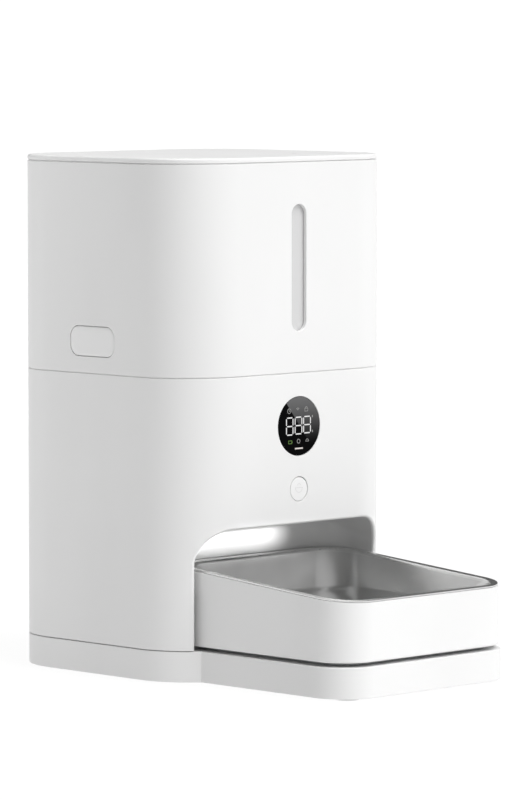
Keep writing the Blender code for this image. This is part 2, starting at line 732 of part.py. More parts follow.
def make_display_lens():
    """Black round lens, flush in the housing, with a glued flange behind the wall."""
    inside = SHELL_WALL + GAP
    profile = [
        (DISPLAY_RADIUS - 0.0003, 0.0001),
        (DISPLAY_RADIUS, 0.0004),
        (DISPLAY_RADIUS, inside),
        (DISPLAY_RADIUS + 0.002, inside),
        (DISPLAY_RADIUS + 0.002, inside + 0.001),
    ]
    here = (0.0, BODY_FRONT_Y, DISPLAY_Z)
    return turned_about_y("display_lens", profile, "display_black", here, FINE_STEPS)


DISPLAY_MODULE_BACK = BODY_FRONT_Y + SHELL_WALL + 0.0057
BOARD_FRONT = DISPLAY_MODULE_BACK + GAP
BOARD_THICKNESS = 0.0016


def make_display_electronics():
    """Numeral module and touch switch on one upright board behind the front wall."""
    module_front = BODY_FRONT_Y + SHELL_WALL + GAP + 0.001 + GAP
    box(
        "display_module",
        (-0.013, module_front, DISPLAY_Z - 0.012),
        (0.013, DISPLAY_MODULE_BACK, DISPLAY_Z + 0.012),
        "module_black",
    )
    board_back = BOARD_FRONT + BOARD_THICKNESS
    low = (-0.026, BOARD_FRONT, BAY_TOP + 0.011)
    high = (0.026, board_back, HOUSING_TOP - 0.0105)
    box("display_board", low, high, "board_green")
    switch_front = BODY_FRONT_Y + SHELL_WALL + GAP + BUTTON_STEM + BUTTON_TRAVEL + GAP
    box(
        "feed_switch",
        (-0.003, switch_front, BUTTON_Z - 0.003),
        (0.003, BOARD_FRONT - GAP, BUTTON_Z + 0.003),
        "module_black",
    )


def make_feed_button():
    """Round push cap, flush with the housing, held by a flange behind the wall."""
    inside = SHELL_WALL + GAP
    profile = [
        (BUTTON_RADIUS - 0.0004, 0.0),
        (BUTTON_RADIUS - 0.0001, 0.0004),
        (BUTTON_RADIUS - 0.0001, inside),
        (BUTTON_RADIUS + 0.0015, inside),
        (BUTTON_RADIUS + 0.0015, inside + 0.001),
        (0.0018, inside + 0.001),
        (0.0018, inside + BUTTON_STEM),
    ]
    return turned_about_y("feed_button", profile, "button_white", (0.0, BODY_FRONT_Y, BUTTON_Z))


# ---------------------------------------------------------------- portioning


FLANGE_BACK = SHELL_WALL + GAP + 0.0015
DECK_TOP = HOUSING_TOP - DECK_DROP
DRUM_FLOOR_HEIGHT = DECK_TOP - DRUM_DEPTH
DRUM_RADIUS = ROTOR_RADIUS + DRUM_CLEARANCE
DROP_INNER = ROTOR_HUB + 0.004
DROP_OUTER = ROTOR_RADIUS - 0.001
DROP_NEAR = BODY_Y - DROP_INNER * math.cos(DROP_HALF_ANGLE)
CHUTE_EXIT = (0.044, 0.021, BODY_FRONT_Y + 0.024)


def sector(inner, outer, half_angle, steps=8):
    """Outline of a ring sector facing the front, about the drum's axis."""
    points = []
    for radius, order in ((outer, 1), (inner, -1)):
        for step in range(steps + 1):
            angle = -math.pi / 2 + order * half_angle * (2 * step / steps - 1)
            points.append((radius * math.cos(angle), radius * math.sin(angle)))
    return points


def leg_slots():
    """Slots on both sides that the release buttons' legs pass through and move in."""
    outer = BODY_WIDTH / 2 - FLANGE_BACK + 0.001
    width = LEG_THICKNESS + RELEASE_TRAVEL + 0.003
    outlines = []
    for side in (-1, 1):
        middle = (side * (outer - width / 2), BODY_Y)
        outlines.append(rounded_rectangle(width, LEG_WIDTH + 0.003, 0.001, middle, 2))
    return outlines


def make_feed_deck():
    """Plate across the top of the housing with the rotor's drum hanging from it."""
    here = (0.0, BODY_Y, 0.0)
    inset = SHELL_WALL + GAP
    deck = slab("feed_deck", inner_outline(inset), DECK_TOP - DECK_THICKNESS, DECK_TOP, "inner_grey", here)
    cup = circle(DRUM_RADIUS + DRUM_WALL, FINE_STEPS)
    cup_bottom = DRUM_FLOOR_HEIGHT - DRUM_FLOOR
    combine(deck, slab("drum_cup", cup, cup_bottom, DECK_TOP - 0.001, None, here), "UNION")
    well = circle(DRUM_RADIUS, FINE_STEPS)
    combine(deck, slab("drum_well", well, DRUM_FLOOR_HEIGHT, DECK_TOP + 0.005, None, here))
    drop = sector(DROP_INNER, DROP_OUTER, DROP_HALF_ANGLE)
    combine(deck, slab("drop_hole", drop, DRUM_FLOOR_HEIGHT - 0.006, DRUM_FLOOR_HEIGHT + 0.004, None, here))
    stem = circle(ROTOR_STEM + RUNNING_CLEARANCE, FINE_STEPS)
    combine(deck, slab("stem_hole", stem, DRUM_FLOOR_HEIGHT - 0.006, DRUM_FLOOR_HEIGHT + 0.004, None, here))
    combine(deck, slabs("leg_slots", leg_slots(), DECK_TOP - 0.006, DECK_TOP + 0.004))
    return deck


def make_chute():
    """Sloping duct from the drum's drop hole to the recess."""
    top = DRUM_FLOOR_HEIGHT - DRUM_FLOOR - GAP
    bottom = BAY_TOP + BAY_WALL + GAP
    far_y = BODY_Y - DROP_OUTER - 0.001
    near_y = DROP_NEAR
    entry = (2 * DROP_OUTER * math.sin(DROP_HALF_ANGLE) + 0.001, near_y - far_y, (near_y + far_y) / 2)
    loops = []
    for wall in (CHUTE_WALL, 0.0):
        ends = []
        for (width, depth, middle), height in ((CHUTE_EXIT, bottom), (entry, top)):
            outline = rounded_rectangle(width + 2 * wall, depth + 2 * wall, 0.004 + wall, (0.0, middle), 3)
            ends.append(level(outline, height))
        loops += ends if wall else list(reversed(ends))
    return loft("chute", loops, "inner_grey", ring=True)


HUB_BOTTOM = DRUM_FLOOR_HEIGHT + 0.001
HUB_TOP = DECK_TOP - 0.004
STEM_BOTTOM = DRUM_FLOOR_HEIGHT - DRUM_FLOOR - 0.0015 - GEAR_WIDTH - 0.0015


def make_portion_rotor():
    """Turned hub with six straight vanes; its stem carries the drive gear below the drum."""
    down = STEM_BOTTOM - HUB_BOTTOM
    profile = [
        (ROTOR_STEM, down),
        (ROTOR_STEM, 0.0),
        (ROTOR_HUB, 0.0),
        (ROTOR_HUB, 0.004),
        (0.014, VANE_HEIGHT - 0.002),
        (0.012, HUB_TOP - HUB_BOTTOM),
    ]
    rotor = turned("portion_rotor", profile, "rotor_grey", (0.0, BODY_Y, HUB_BOTTOM), FINE_STEPS)
    body = bmesh.new()
    for vane in range(ROTOR_VANES):
        turn = Matrix.Rotation(2 * math.pi * vane / ROTOR_VANES, 3, "Z")
        corners = ((0.008, -1), (ROTOR_RADIUS, -1), (ROTOR_RADIUS, 1), (0.008, 1))
        loops = []
        for height in (0.0005, VANE_HEIGHT):
            points = [Vector((reach, side * VANE_THICKNESS / 2, height)) for reach, side in corners]
            loops.append([turn @ point for point in points])
        skin(body, loops)
    vanes = add_object("vane_guide", body, None, (0.0, BODY_Y, HUB_BOTTOM))
    return combine(rotor, vanes, "UNION")


def make_agitator():
    """Two soft arms on the hub that stir the food above the drum."""
    low = HUB_TOP + GAP
    loops = [level(rounded_rectangle(0.078, 0.009, 0.0035, steps=4), height) for height in (0.0, 0.004)]
    agitator = loft("agitator", loops, "seal_silicone", (0.0, BODY_Y, low))
    profile = [(0.005, 0.002), (0.004, 0.024), (0.002, 0.026)]
    finger = turned("agitator_finger", profile, None, (0.0, BODY_Y, low), 12)
    return combine(agitator, finger, "UNION")


def make_portion_guard():
    """Cover over the drop hole, so that only a full vane pocket reaches it."""
    outline = sector(0.020, DRUM_RADIUS - GAP, DROP_HALF_ANGLE + math.radians(6.0))
    low = HUB_BOTTOM + VANE_HEIGHT + 0.001
    return slab("portion_guard", outline, low, low + 0.0018, "inner_grey", (0.0, BODY_Y, 0.0))


GEAR_ROOM = DROP_INNER * math.cos(DROP_HALF_ANGLE) - CHUTE_WALL - GEAR_TO_CHUTE
GEAR_MODULE = GEAR_ROOM / (GEAR_TEETH / 2 + 1)


def involute_gear(name, teeth, width, bore, location, start, slot):
    """Spur gear with involute flanks, its first tooth centred on the start angle."""
    pitch = GEAR_MODULE * teeth / 2
    base = pitch * math.cos(PRESSURE_ANGLE)
    tip = pitch + GEAR_MODULE
    root = pitch - 1.25 * GEAR_MODULE
    first = max(base, root)
    involute_at_pitch = math.tan(PRESSURE_ANGLE) - PRESSURE_ANGLE
    half_tooth = (math.pi * GEAR_MODULE / 2 - GEAR_BACKLASH) / (2 * pitch)
    flank = []
    for step in range(3):
        radius = first + (tip - first) * step / 2
        pressure = math.acos(min(base / radius, 1.0))
        flank.append((radius, half_tooth + involute_at_pitch - (math.tan(pressure) - pressure)))
    rim = []
    for tooth in range(teeth):
        middle = start + 2 * math.pi * tooth / teeth
        side = [(root, flank[0][1])] + flank[1:] if root < first else flank
        rim += [(radius, middle - angle) for radius, angle in side]
        rim += [(radius, middle + angle) for radius, angle in reversed(side)]
    outline = [(radius * math.cos(angle), radius * math.sin(angle)) for radius, angle in rim]
    gear = slab(name, outline, 0.0, width, slot, location)
    if bore:
        combine(gear, slab(f"{name}_bore", circle(bore, FINE_STEPS), -0.002, width + 0.002, None, location))
    return gear


GEAR_BOTTOM = STEM_BOTTOM + 0.0015
PINION_Y = BODY_Y + GEAR_MODULE * (GEAR_TEETH + PINION_TEETH) / 2
BRACKET_TOP = GEAR_BOTTOM - 0.003
BRACKET_THICKNESS = 0.002
SHAFT_RADIUS = 0.002


def make_gears():
    """Drive gear on the rotor's stem, and the motor's pinion behind it."""
    here = (0.0, BODY_Y, GEAR_BOTTOM)
    involute_gear("drive_gear", GEAR_TEETH, GEAR_WIDTH, ROTOR_STEM + GAP, here, math.pi / 2, "gear_cream")
    half_tooth = math.pi / PINION_TEETH
    there = (0.0, PINION_Y, GEAR_BOTTOM)
    start = half_tooth - math.pi / 2
    pinion = involute_gear("motor_pinion", PINION_TEETH, GEAR_WIDTH, 0.0, there, start, "gear_cream")
    low = BRACKET_TOP - BRACKET_THICKNESS - 0.006 - GEAR_BOTTOM
    stem = slab("pinion_stem", circle(SHAFT_RADIUS, FINE_STEPS), low, 0.002, None, there)
    return combine(pinion, stem, "UNION")


def make_motor():
    """Gear motor under its bracket; the bracket hangs from the drum's floor on three posts."""
    outline = rounded_rectangle(0.058, 0.040, 0.004, (0.0, PINION_Y + 0.003), 4)
    low = BRACKET_TOP - BRACKET_THICKNESS
    bracket = slab("motor_bracket", outline, low, BRACKET_TOP, "inner_grey")
    spots = [(-0.025, PINION_Y + 0.003), (0.025, PINION_Y + 0.003), (0.0, PINION_Y + 0.018)]
    posts = [circle(0.003, 12, spot) for spot in spots]
    ceiling = DRUM_FLOOR_HEIGHT - DRUM_FLOOR - GAP
    combine(bracket, slabs("bracket_posts", posts, low + 0.001, ceiling), "UNION")
    shaft = circle(SHAFT_RADIUS + RUNNING_CLEARANCE, FINE_STEPS, (0.0, PINION_Y))
    combine(bracket, slab("bracket_hole", shaft, low - 0.002, BRACKET_TOP + 0.002))
    profile = [
        (0.006, -MOTOR_LENGTH - 0.003),
        (0.006, -MOTOR_LENGTH),
        (MOTOR_RADIUS - 0.0008, -MOTOR_LENGTH),
        (MOTOR_RADIUS, -MOTOR_LENGTH + 0.0008),
        (MOTOR_RADIUS, -0.014),
        (MOTOR_RADIUS + 0.0008, -0.014),
        (MOTOR_RADIUS + 0.0008, 0.0),
    ]
    motor = turned("gear_motor", profile, "motor_metal", (0.0, PINION_Y, low - GAP))
    socket = circle(SHAFT_RADIUS + RUNNING_CLEARANCE, FINE_STEPS, (0.0, PINION_Y))
    return combine(motor, slab("motor_socket", socket, low - 0.007, low + 0.002))


def make_power():
    """Main board at the back, and the inlet that shows through the rear wall."""
    board_y = BODY_BACK_Y - 0.0185
    half = BOARD_THICKNESS / 2
    box("main_board", (-0.040, board_y - half, 0.056), (0.040, board_y + half, 0.116), "board_green")
    front = board_y + half + GAP
    back = BODY_BACK_Y - SHELL_WALL - GAP
    low_corner = (-SOCKET_HALF, front, SOCKET_Z - SOCKET_HALF)
    high_corner = (SOCKET_HALF, back, SOCKET_Z + SOCKET_HALF)
    inlet = box("power_inlet", low_corner, high_corner, "module_black")
    collar = circle(SOCKET_COLLAR, 16, (0.0, SOCKET_Z))
    combine(inlet, front_prism("inlet_collar", collar, back - 0.001, BODY_BACK_Y - 0.0004), "UNION")
    bore = circle(0.0032, 16, (0.0, SOCKET_Z))
    combine(inlet, front_prism("inlet_bore", bore, back - 0.006, BODY_BACK_Y + 0.002))
    pin = circle(0.001, 10, (0.0, SOCKET_Z))
    combine(inlet, front_prism("inlet_pin", pin, back - 0.007, BODY_BACK_Y - 0.002), "UNION")
    return inlet


# ---------------------------------------------------------------- hopper


RELEASE_Z = HOUSING_TOP + RELEASE_RISE
WINDOW_LOW = HOUSING_TOP + WINDOW_RISE
WINDOW_HIGH = HOPPER_TOP - WINDOW_DROP
WINDOW_MIDDLE = (WINDOW_LOW + WINDOW_HIGH) / 2


def release_outline(grow):
    """Outline of a release button as (y, z) points about its own middle, grown all round."""
    width = RELEASE_WIDTH + 2 * grow
    return rounded_rectangle(width, RELEASE_HEIGHT + 2 * grow, RELEASE_CORNER + grow, steps=INNER_STEPS)


def make_hopper_shell():
    """Outer shell of the hopper, with the level slot and the two button holes."""
    shell = hollow_shell("hopper_shell", HOUSING_TOP + SEAM / 2, HOPPER_TOP - SEAM / 2, "shell_white")
    height = WINDOW_HIGH - WINDOW_LOW
    slot = rounded_rectangle(WINDOW_WIDTH, height, WINDOW_WIDTH / 2 - 0.0001, (0.0, WINDOW_MIDDLE))
    inside = BODY_FRONT_Y + SHELL_WALL + 0.003
    combine(shell, front_prism("window_cutter", slot, BODY_FRONT_Y - 0.003, inside))
    outline = release_outline(RELEASE_CLEARANCE)
    for side, name in ((-1, "left_button_cutter"), (1, "right_button_cutter")):
        reach = BODY_WIDTH / 2
        ends = (side * (reach + 0.003), side * (reach - SHELL_WALL - 0.003))
        loops = [[(x, y, z) for y, z in outline] for x in ends]
        combine(shell, loft(name, loops, None, (0.0, BODY_Y, RELEASE_Z)))
    return shell


def make_window_lens():
    """Grey translucent strip behind the level slot."""
    width = WINDOW_WIDTH + WINDOW_LAP
    height = WINDOW_HIGH - WINDOW_LOW + WINDOW_LAP
    outline = rounded_rectangle(width, height, width / 2 - 0.0001, (0.0, WINDOW_MIDDLE))
    front = BODY_FRONT_Y + SHELL_WALL + GAP
    loops = [[(x, y, z) for x, z in outline] for y in (front + WINDOW_THICKNESS, front)]
    return loft("window_lens", loops, "window_grey")


def make_hopper_liner():
    """Food tank: a hanging flange, straight walls, a funnel and a round throat."""
    top = HOPPER_TOP - SEAM / 2 - 0.0030
    flange = SHELL_WALL + GAP
    bend = HOUSING_TOP + FUNNEL_HEIGHT
    neck = HOUSING_TOP + THROAT_LENGTH
    low = DECK_TOP + 0.001
    nearly = 0.0008
    wide = THROAT_RADIUS + LINER_WALL
    inner_size = 2 * THROAT_RADIUS
    throat_in = rounded_rectangle(inner_size, inner_size, THROAT_RADIUS - nearly, steps=INNER_STEPS)
    throat_out = rounded_rectangle(2 * wide, 2 * wide, wide - nearly, steps=INNER_STEPS)
    loops = [
        level(throat_out, low),
        level(throat_out, neck),
        level(inner_outline(LINER_INSET), bend),
        level(inner_outline(LINER_INSET), top - 0.0015),
        level(inner_outline(flange), top - 0.0015),
        level(inner_outline(flange), top),
        level(inner_outline(LINER_INSET + LINER_WALL), top),
        level(inner_outline(LINER_INSET + LINER_WALL), bend + 0.0007),
        level(throat_in, neck + 0.0007),
        level(throat_in, low),
    ]
    return loft("hopper_liner", loops, "tank_clear", (0.0, BODY_Y, 0.0), ring=True)


RIB_X = BODY_WIDTH / 2 - 0.016
RIB_HALF_THICKNESS = 0.001
RIB_HALF_WIDTH = 0.011


def make_hopper_base_plate():
    """Ring plate that closes the hopper from below, with a rib behind each release button."""
    here = (0.0, BODY_Y, 0.0)
    low = HOUSING_TOP + 0.001
    plate = slab("hopper_base_plate", inner_outline(SHELL_WALL + GAP), low, low + 0.002, "inner_grey", here)
    ribs = []
    for side in (-1, 1):
        left, right = side * RIB_X - RIB_HALF_THICKNESS, side * RIB_X + RIB_HALF_THICKNESS
        front, back = BODY_Y - RIB_HALF_WIDTH, BODY_Y + RIB_HALF_WIDTH
        ribs.append([(left, front), (right, front), (right, back), (left, back)])
    combine(plate, slabs("spring_ribs", ribs, low + 0.001, RELEASE_Z + 0.008), "UNION")
    clear = THROAT_RADIUS + LINER_WALL + 0.0012
    combine(plate, slab("throat_hole", circle(clear, FINE_STEPS), low - 0.004, low + 0.006, None, here))
    combine(plate, slabs("plate_leg_slots", leg_slots(), low - 0.004, low + 0.006))
    return plate


def make_release_buttons():
    """Side buttons with a retaining flange, a latch leg and a return spring each."""
    reach = BODY_WIDTH / 2
    for side, word in ((-1, "left"), (1, "right")):
        here = (0.0, BODY_Y, RELEASE_Z)
        stack = [
            (reach - 0.0001, -0.0004),
            (reach - 0.0005, 0.0),
            (reach - SHELL_WALL - GAP, 0.0),
            (reach - SHELL_WALL - GAP, 0.0018),
            (reach - FLANGE_BACK, 0.0018),
        ]
        loops = []
        for x, grow in stack:
            loops.append([(side * x, y, z) for y, z in release_outline(grow)])
        button = loft(f"release_button_{word}", loops, "button_white", here)
        xs = sorted((side * (reach - FLANGE_BACK + 0.0005), side * (reach - FLANGE_BACK - LEG_THICKNESS)))
        foot = DECK_TOP - DECK_THICKNESS - 0.003 - RELEASE_Z
        half = LEG_WIDTH / 2
        leg = box(f"leg_guide_{word}", (xs[0], -half, foot), (xs[1], half, -0.005), None, here)
        combine(button, leg, "UNION")
        start = side * (reach - FLANGE_BACK - GAP)
        length = reach - FLANGE_BACK - RIB_X - RIB_HALF_THICKNESS - 2 * GAP
        coil(f"release_spring_{word}", 0.0030, 0.0004, length, 3, (start, BODY_Y, RELEASE_Z + 0.002), -side)


# ---------------------------------------------------------------- lid


def make_lid():
    """Flat lid with a rounded edge, a faint crown and a plug that fits inside the tank."""
    low = HOPPER_TOP + SEAM / 2
    side_top = LID_TOP - LID_ROUND - LID_CROWN
    loops = [level(body_outline(SHELL_EDGE), low), level(body_outline(), low + SHELL_EDGE)]
    for step in range(4):
        angle = math.pi / 2 * step / 3
        inset = LID_ROUND * (1 - math.cos(angle))
        loops.append(level(body_outline(inset), side_top + LID_ROUND * math.sin(angle)))
    loops.append(level(body_outline(0.030), LID_TOP))
    lid = loft("lid", loops, "shell_white", (0.0, BODY_Y, 0.0))
    inset = LINER_INSET + LINER_WALL + GAP + SEAL_THICKNESS + GAP
    ring = [
        level(inner_outline(inset), low - PLUG_DEPTH),
        level(inner_outline(inset), low + 0.0006),
        level(inner_outline(inset + PLUG_WALL), low + 0.0006),
        level(inner_outline(inset + PLUG_WALL), low - PLUG_DEPTH),
    ]
    return combine(lid, loft("lid_plug", ring, None, (0.0, BODY_Y, 0.0), ring=True), "UNION")


def make_lid_seal():
    """Soft ring around the lid's plug."""
    low = HOPPER_TOP + SEAM / 2 - PLUG_DEPTH + 0.001
    outer = LINER_INSET + LINER_WALL + GAP
    inner = outer + SEAL_THICKNESS
    loops = [
        level(inner_outline(outer + 0.0006), low),
        level(inner_outline(outer), low + 0.0008),
        level(inner_outline(outer), low + 0.0022),
        level(inner_outline(outer + 0.0006), low + 0.003),
        level(inner_outline(inner), low + 0.003),
        level(inner_outline(inner), low),
    ]
    return loft("lid_seal", loops, "seal_silicone", (0.0, BODY_Y, 0.0), ring=True)


def make_desiccant():
    """Ring clip under the lid and the drying puck that sits in it."""
    top = HOPPER_TOP + SEAM / 2 - GAP
    wide = DESICCANT_RADIUS + GAP
    clip = [(wide, -0.009), (wide + 0.0016, -0.009), (wide + 0.0016, 0.0), (wide, 0.0)]
    turned("desiccant_holder", clip, "inner_grey", (0.0, BODY_Y, top), 32, ring=True)
    puck = [
        (DESICCANT_RADIUS - 0.001, -0.011),
        (DESICCANT_RADIUS, -0.010),
        (DESICCANT_RADIUS, -0.0005),
    ]
    turned("desiccant_puck", puck, "desiccant_white", (0.0, BODY_Y, top), 32)


def main():
    clear_scene()
    make_base_tray()
    make_bottom_cover()
    make_feet()
    make_screws()
    make_battery_box()
    make_battery_door()
    make_battery_contacts()
    make_weighing_platform()
    make_load_cell()
    make_bowl_holder()
    make_steel_bowl()
    make_housing()
    make_bay_liner()
    make_display_lens()
    make_display_electronics()
    make_feed_button()
    make_feed_deck()
    make_chute()
    make_portion_rotor()
    make_agitator()
    make_portion_guard()
    make_gears()
    make_motor()
    make_power()
    make_hopper_shell()
    make_window_lens()
    make_hopper_liner()
    make_hopper_base_plate()
    make_release_buttons()
    make_lid()
    make_lid_seal()
    make_desiccant()


main()
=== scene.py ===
# %% [markdown]
# # Automatic pet feeder
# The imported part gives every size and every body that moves. This script dresses it: it rebuilds the pieces
# that show with finer curves and real fillets, paints all of them, and sets up the studio. The frame comes
# first, because each position below is read from it.

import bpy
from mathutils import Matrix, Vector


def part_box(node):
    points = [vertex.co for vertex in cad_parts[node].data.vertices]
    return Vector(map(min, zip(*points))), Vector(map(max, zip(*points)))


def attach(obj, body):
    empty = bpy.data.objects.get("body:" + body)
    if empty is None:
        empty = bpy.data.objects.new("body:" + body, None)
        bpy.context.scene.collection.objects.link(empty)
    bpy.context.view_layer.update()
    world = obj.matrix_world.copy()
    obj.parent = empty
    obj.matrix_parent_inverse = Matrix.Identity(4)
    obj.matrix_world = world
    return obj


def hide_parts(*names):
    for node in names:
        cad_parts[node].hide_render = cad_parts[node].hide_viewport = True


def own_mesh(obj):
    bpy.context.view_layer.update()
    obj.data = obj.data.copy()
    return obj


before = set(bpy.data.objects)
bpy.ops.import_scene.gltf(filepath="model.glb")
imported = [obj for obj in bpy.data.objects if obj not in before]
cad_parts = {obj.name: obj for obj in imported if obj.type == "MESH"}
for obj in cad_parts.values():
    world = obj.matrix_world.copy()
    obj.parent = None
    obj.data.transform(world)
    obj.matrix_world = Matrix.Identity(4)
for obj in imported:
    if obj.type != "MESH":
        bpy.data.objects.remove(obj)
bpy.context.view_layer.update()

# %% [markdown]
# ## Sizes
# The feeder is a column with a rounded-square plan, a tray in front and a bowl on the tray. The outer sizes
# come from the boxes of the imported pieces. Radii and walls aren't in a box, so they are named here once.

# %% Sizes of the body
import math

import bmesh
import bpy
from mathutils import Vector
from mathutils.geometry import delaunay_2d_cdt

housing_low, housing_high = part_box("housing")
hopper_low, hopper_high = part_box("hopper_shell")
HALF_WIDTH = housing_high.x
FRONT, BACK = housing_low.y, housing_high.y
MIDDLE = (FRONT + BACK) / 2
HALF_DEPTH = (BACK - FRONT) / 2
CORNER = 0.045
WALL = 0.0025
STRAIGHT_X = HALF_WIDTH - CORNER
STRAIGHT_Y = HALF_DEPTH - CORNER
ROUND_TRIP = 4 * (STRAIGHT_X + STRAIGHT_Y) + 2 * math.pi * CORNER
MILLIMETRES = 1000
print("column", round(2 * MILLIMETRES * HALF_WIDTH, 1), "x", round(2 * MILLIMETRES * HALF_DEPTH, 1), "mm")
print("round trip", round(MILLIMETRES * ROUND_TRIP, 1), "mm")

# %% [markdown]
# Nearly every edge of the feeder is rounded by a quarter turn, so a list of its angles is needed again and
# again. Two directions get names as well: up, and back from the front wall.

# %% Quarter turns and directions
UPWARD = Vector((0.0, 0.0, 1.0))
BACKWARD = Vector((0.0, 1.0, 0.0))


def quarter(steps):
    """Angles of a quarter turn, from 0 to 90 degrees, in equal steps."""
    return [math.pi / 2 * step / steps for step in range(steps + 1)]


print("angles of a rounded edge:", [round(math.degrees(angle)) for angle in quarter(4)])

# %% [markdown]
# ## Shader maths
# Grain, smudges and brushing are sums and products of noises. Written as node calls they are hard to read,
# so a small class stands for one output socket and turns Python's operators into Math nodes.


# %% A socket that does arithmetic
class Signal:
    """One output of a finish's nodes; sums and products of signals add Math nodes."""

    def __init__(self, finish, socket):
        self.finish = finish
        self.socket = socket

    def _math(self, operation, *terms):
        return self.finish.add("ShaderNodeMath", {"operation": operation}, dict(enumerate(terms)))

    def __add__(self, other):
        return self._math("ADD", self, other)

    def __sub__(self, other):
        return self._math("SUBTRACT", self, other)

    def __rsub__(self, other):
        return self._math("SUBTRACT", other, self)

    def __mul__(self, other):
        return self._math("MULTIPLY", self, other)

    __radd__ = __add__
    __rmul__ = __mul__

    def step(self, low, high):
        """0 below low, 1 above high, with a soft ramp between them."""
        inputs = {"Value": self, "From Min": low, "From Max": high}
        return self.finish.add("ShaderNodeMapRange", {"interpolation_type": "SMOOTHSTEP"}, inputs)


# %% [markdown]
# ## A finish
# A finish is one Principled shader with what feeds it. Values that are the same all over the surface are
# set on the shader's own sockets, where they are easy to find and survive an export. What changes over the
# surface comes from noise. One method adds any node: first its settings, then what goes into its sockets.


# %% A finish and its nodes
class Finish:
    """A Principled material; its uniform values are set on the shader's own sockets."""

    def __init__(self, name, colour, roughness, **uniform):
        self.material = bpy.data.materials.new(name)
        self.material.use_nodes = True
        self.nodes = self.material.node_tree.nodes
        self.links = self.material.node_tree.links
        self.shader = self.nodes["Principled BSDF"]
        self.colour = colour
        self.roughness = roughness
        self.shader.inputs["Base Color"].default_value = (*colour, 1.0)
        self.shader.inputs["Roughness"].default_value = roughness
        for socket, value in uniform.items():
            self.shader.inputs[socket.replace("_", " ")].default_value = value
        self.place = self.add("ShaderNodeTexCoord", output="Object")

    def add(self, kind, settings=None, inputs=None, output=0):
        """Add a node: its settings first, then values or links of its sockets."""
        node = self.nodes.new(kind)
        for setting, value in (settings or {}).items():
            setattr(node, setting, value)
        for socket, value in (inputs or {}).items():
            if isinstance(value, Signal):
                self.links.new(value.socket, node.inputs[socket])
            else:
                node.inputs[socket].default_value = value
        return Signal(self, node.outputs[output])

    def noise(self, scale, detail=2.0, stretch=(1.0, 1.0, 1.0)):
        """Noise over the piece; scale is in features per metre, and stretch makes it long one way."""
        place = self.add("ShaderNodeVectorMath", {"operation": "MULTIPLY"}, {0: self.place, 1: stretch})
        return self.add("ShaderNodeTexNoise", {}, {"Vector": place, "Scale": scale, "Detail": detail})

    def feed(self, socket, signal):
        """Lead a signal to one of the shader's sockets."""
        self.links.new(signal.socket, self.shader.inputs[socket])

    def mixed(self, mask, low, high):
        """A colour between two others; the Mix node keeps its colour sockets at 6, 7 and 2."""
        inputs = {0: mask, 6: (*low, 1.0), 7: (*high, 1.0)}
        return self.add("ShaderNodeMix", {"data_type": "RGBA"}, inputs, 2)

    def tint(self, mask, colour):
        """Vary the base colour between its own and another one."""
        self.feed("Base Color", self.mixed(mask, self.colour, colour))

    def relief(self, height, depth):
        """Raise the surface by a signal, with its depth in metres."""
        inputs = {"Height": height, "Strength": 1.0, "Distance": depth}
        self.feed("Normal", self.add("ShaderNodeBump", {}, inputs, "Normal"))


# %% [markdown]
# ## Finishes
# The shell is white moulded plastic with a fine spark-eroded grain, a little less gloss where hands wipe
# it, and a trace of uneven colour from the moulding. One function makes all moulded plastics, and each call
# says how coarse its grain is. The amounts are small: a new feeder looks clean, and grain shows only close
# by.


# %% Moulded plastic
def moulded(name, colour, roughness, grain=0.000012, size=2600.0, uneven=0.02, **uniform):
    """White or grey moulded plastic with spark-eroded grain and faint wiping marks."""
    finish = Finish(name, colour, roughness, **uniform)
    spark = finish.noise(size, 3.0)
    flow = finish.noise(14.0, 2.0, (1.0, 1.0, 0.45))
    wiped = finish.noise(46.0, 4.0)
    finish.relief(spark + 0.35 * finish.noise(size * 0.31, 1.0), grain)
    darker = tuple(channel * (1.0 - uneven) for channel in colour)
    finish.tint(flow.step(0.40, 0.66), darker)
    finish.feed("Roughness", roughness + 0.10 * (wiped - 0.5) + 0.05 * (spark - 0.5))
    return finish.material


finishes = {
    "shell_white": moulded("shell_white", (0.84, 0.84, 0.838), 0.42),
    # bay_white is darker than the shell: its lower colour is painted shade for the inside of the recess.
    "bay_white": moulded("bay_white", (0.66, 0.66, 0.658), 0.34, grain=0.000006),
    "bowl_white": moulded("bowl_white", (0.85, 0.85, 0.848), 0.32, grain=0.000006),
    "button_white": moulded("button_white", (0.875, 0.875, 0.873), 0.34, grain=0.000008),
    "tank_clear": moulded("tank_clear", (0.74, 0.75, 0.755), 0.20, grain=0.000004, Transmission_Weight=0.35),
    "sign_grey": moulded("sign_grey", (0.74, 0.74, 0.74), 0.50, grain=0.000004),
    "window_grey": moulded("window_grey", (0.63, 0.63, 0.632), 0.22, grain=0.000003),
    "inner_grey": moulded("inner_grey", (0.42, 0.43, 0.44), 0.50, grain=0.00002, size=1500.0),
    "gear_cream": moulded("gear_cream", (0.85, 0.82, 0.72), 0.42, grain=0.00001),
    "rotor_grey": moulded("rotor_grey", (0.30, 0.31, 0.32), 0.55, grain=0.00002, size=1500.0),
    "module_black": moulded("module_black", (0.03, 0.03, 0.032), 0.50, grain=0.00002, size=1800.0),
    "foot_rubber": moulded("foot_rubber", (0.72, 0.72, 0.72), 0.85, grain=0.00004, size=900.0, uneven=0.15),
    "seal_silicone": moulded("seal_silicone", (0.80, 0.80, 0.79), 0.60, grain=0.000008, uneven=0.04),
    "desiccant_white": moulded("desiccant_white", (0.86, 0.86, 0.84), 0.75, grain=0.00006, size=700.0),
}
print(len(finishes), "moulded finishes")

# %% [markdown]
# The dish is pressed from satin stainless sheet: its brushing runs across the bowl, and use has left a few
# longer scratches. Brushing is noise stretched a hundredfold along one axis, and it feeds both a very
# shallow relief and the roughness. Springs, screws, the load cell and the motor can use the same recipe.


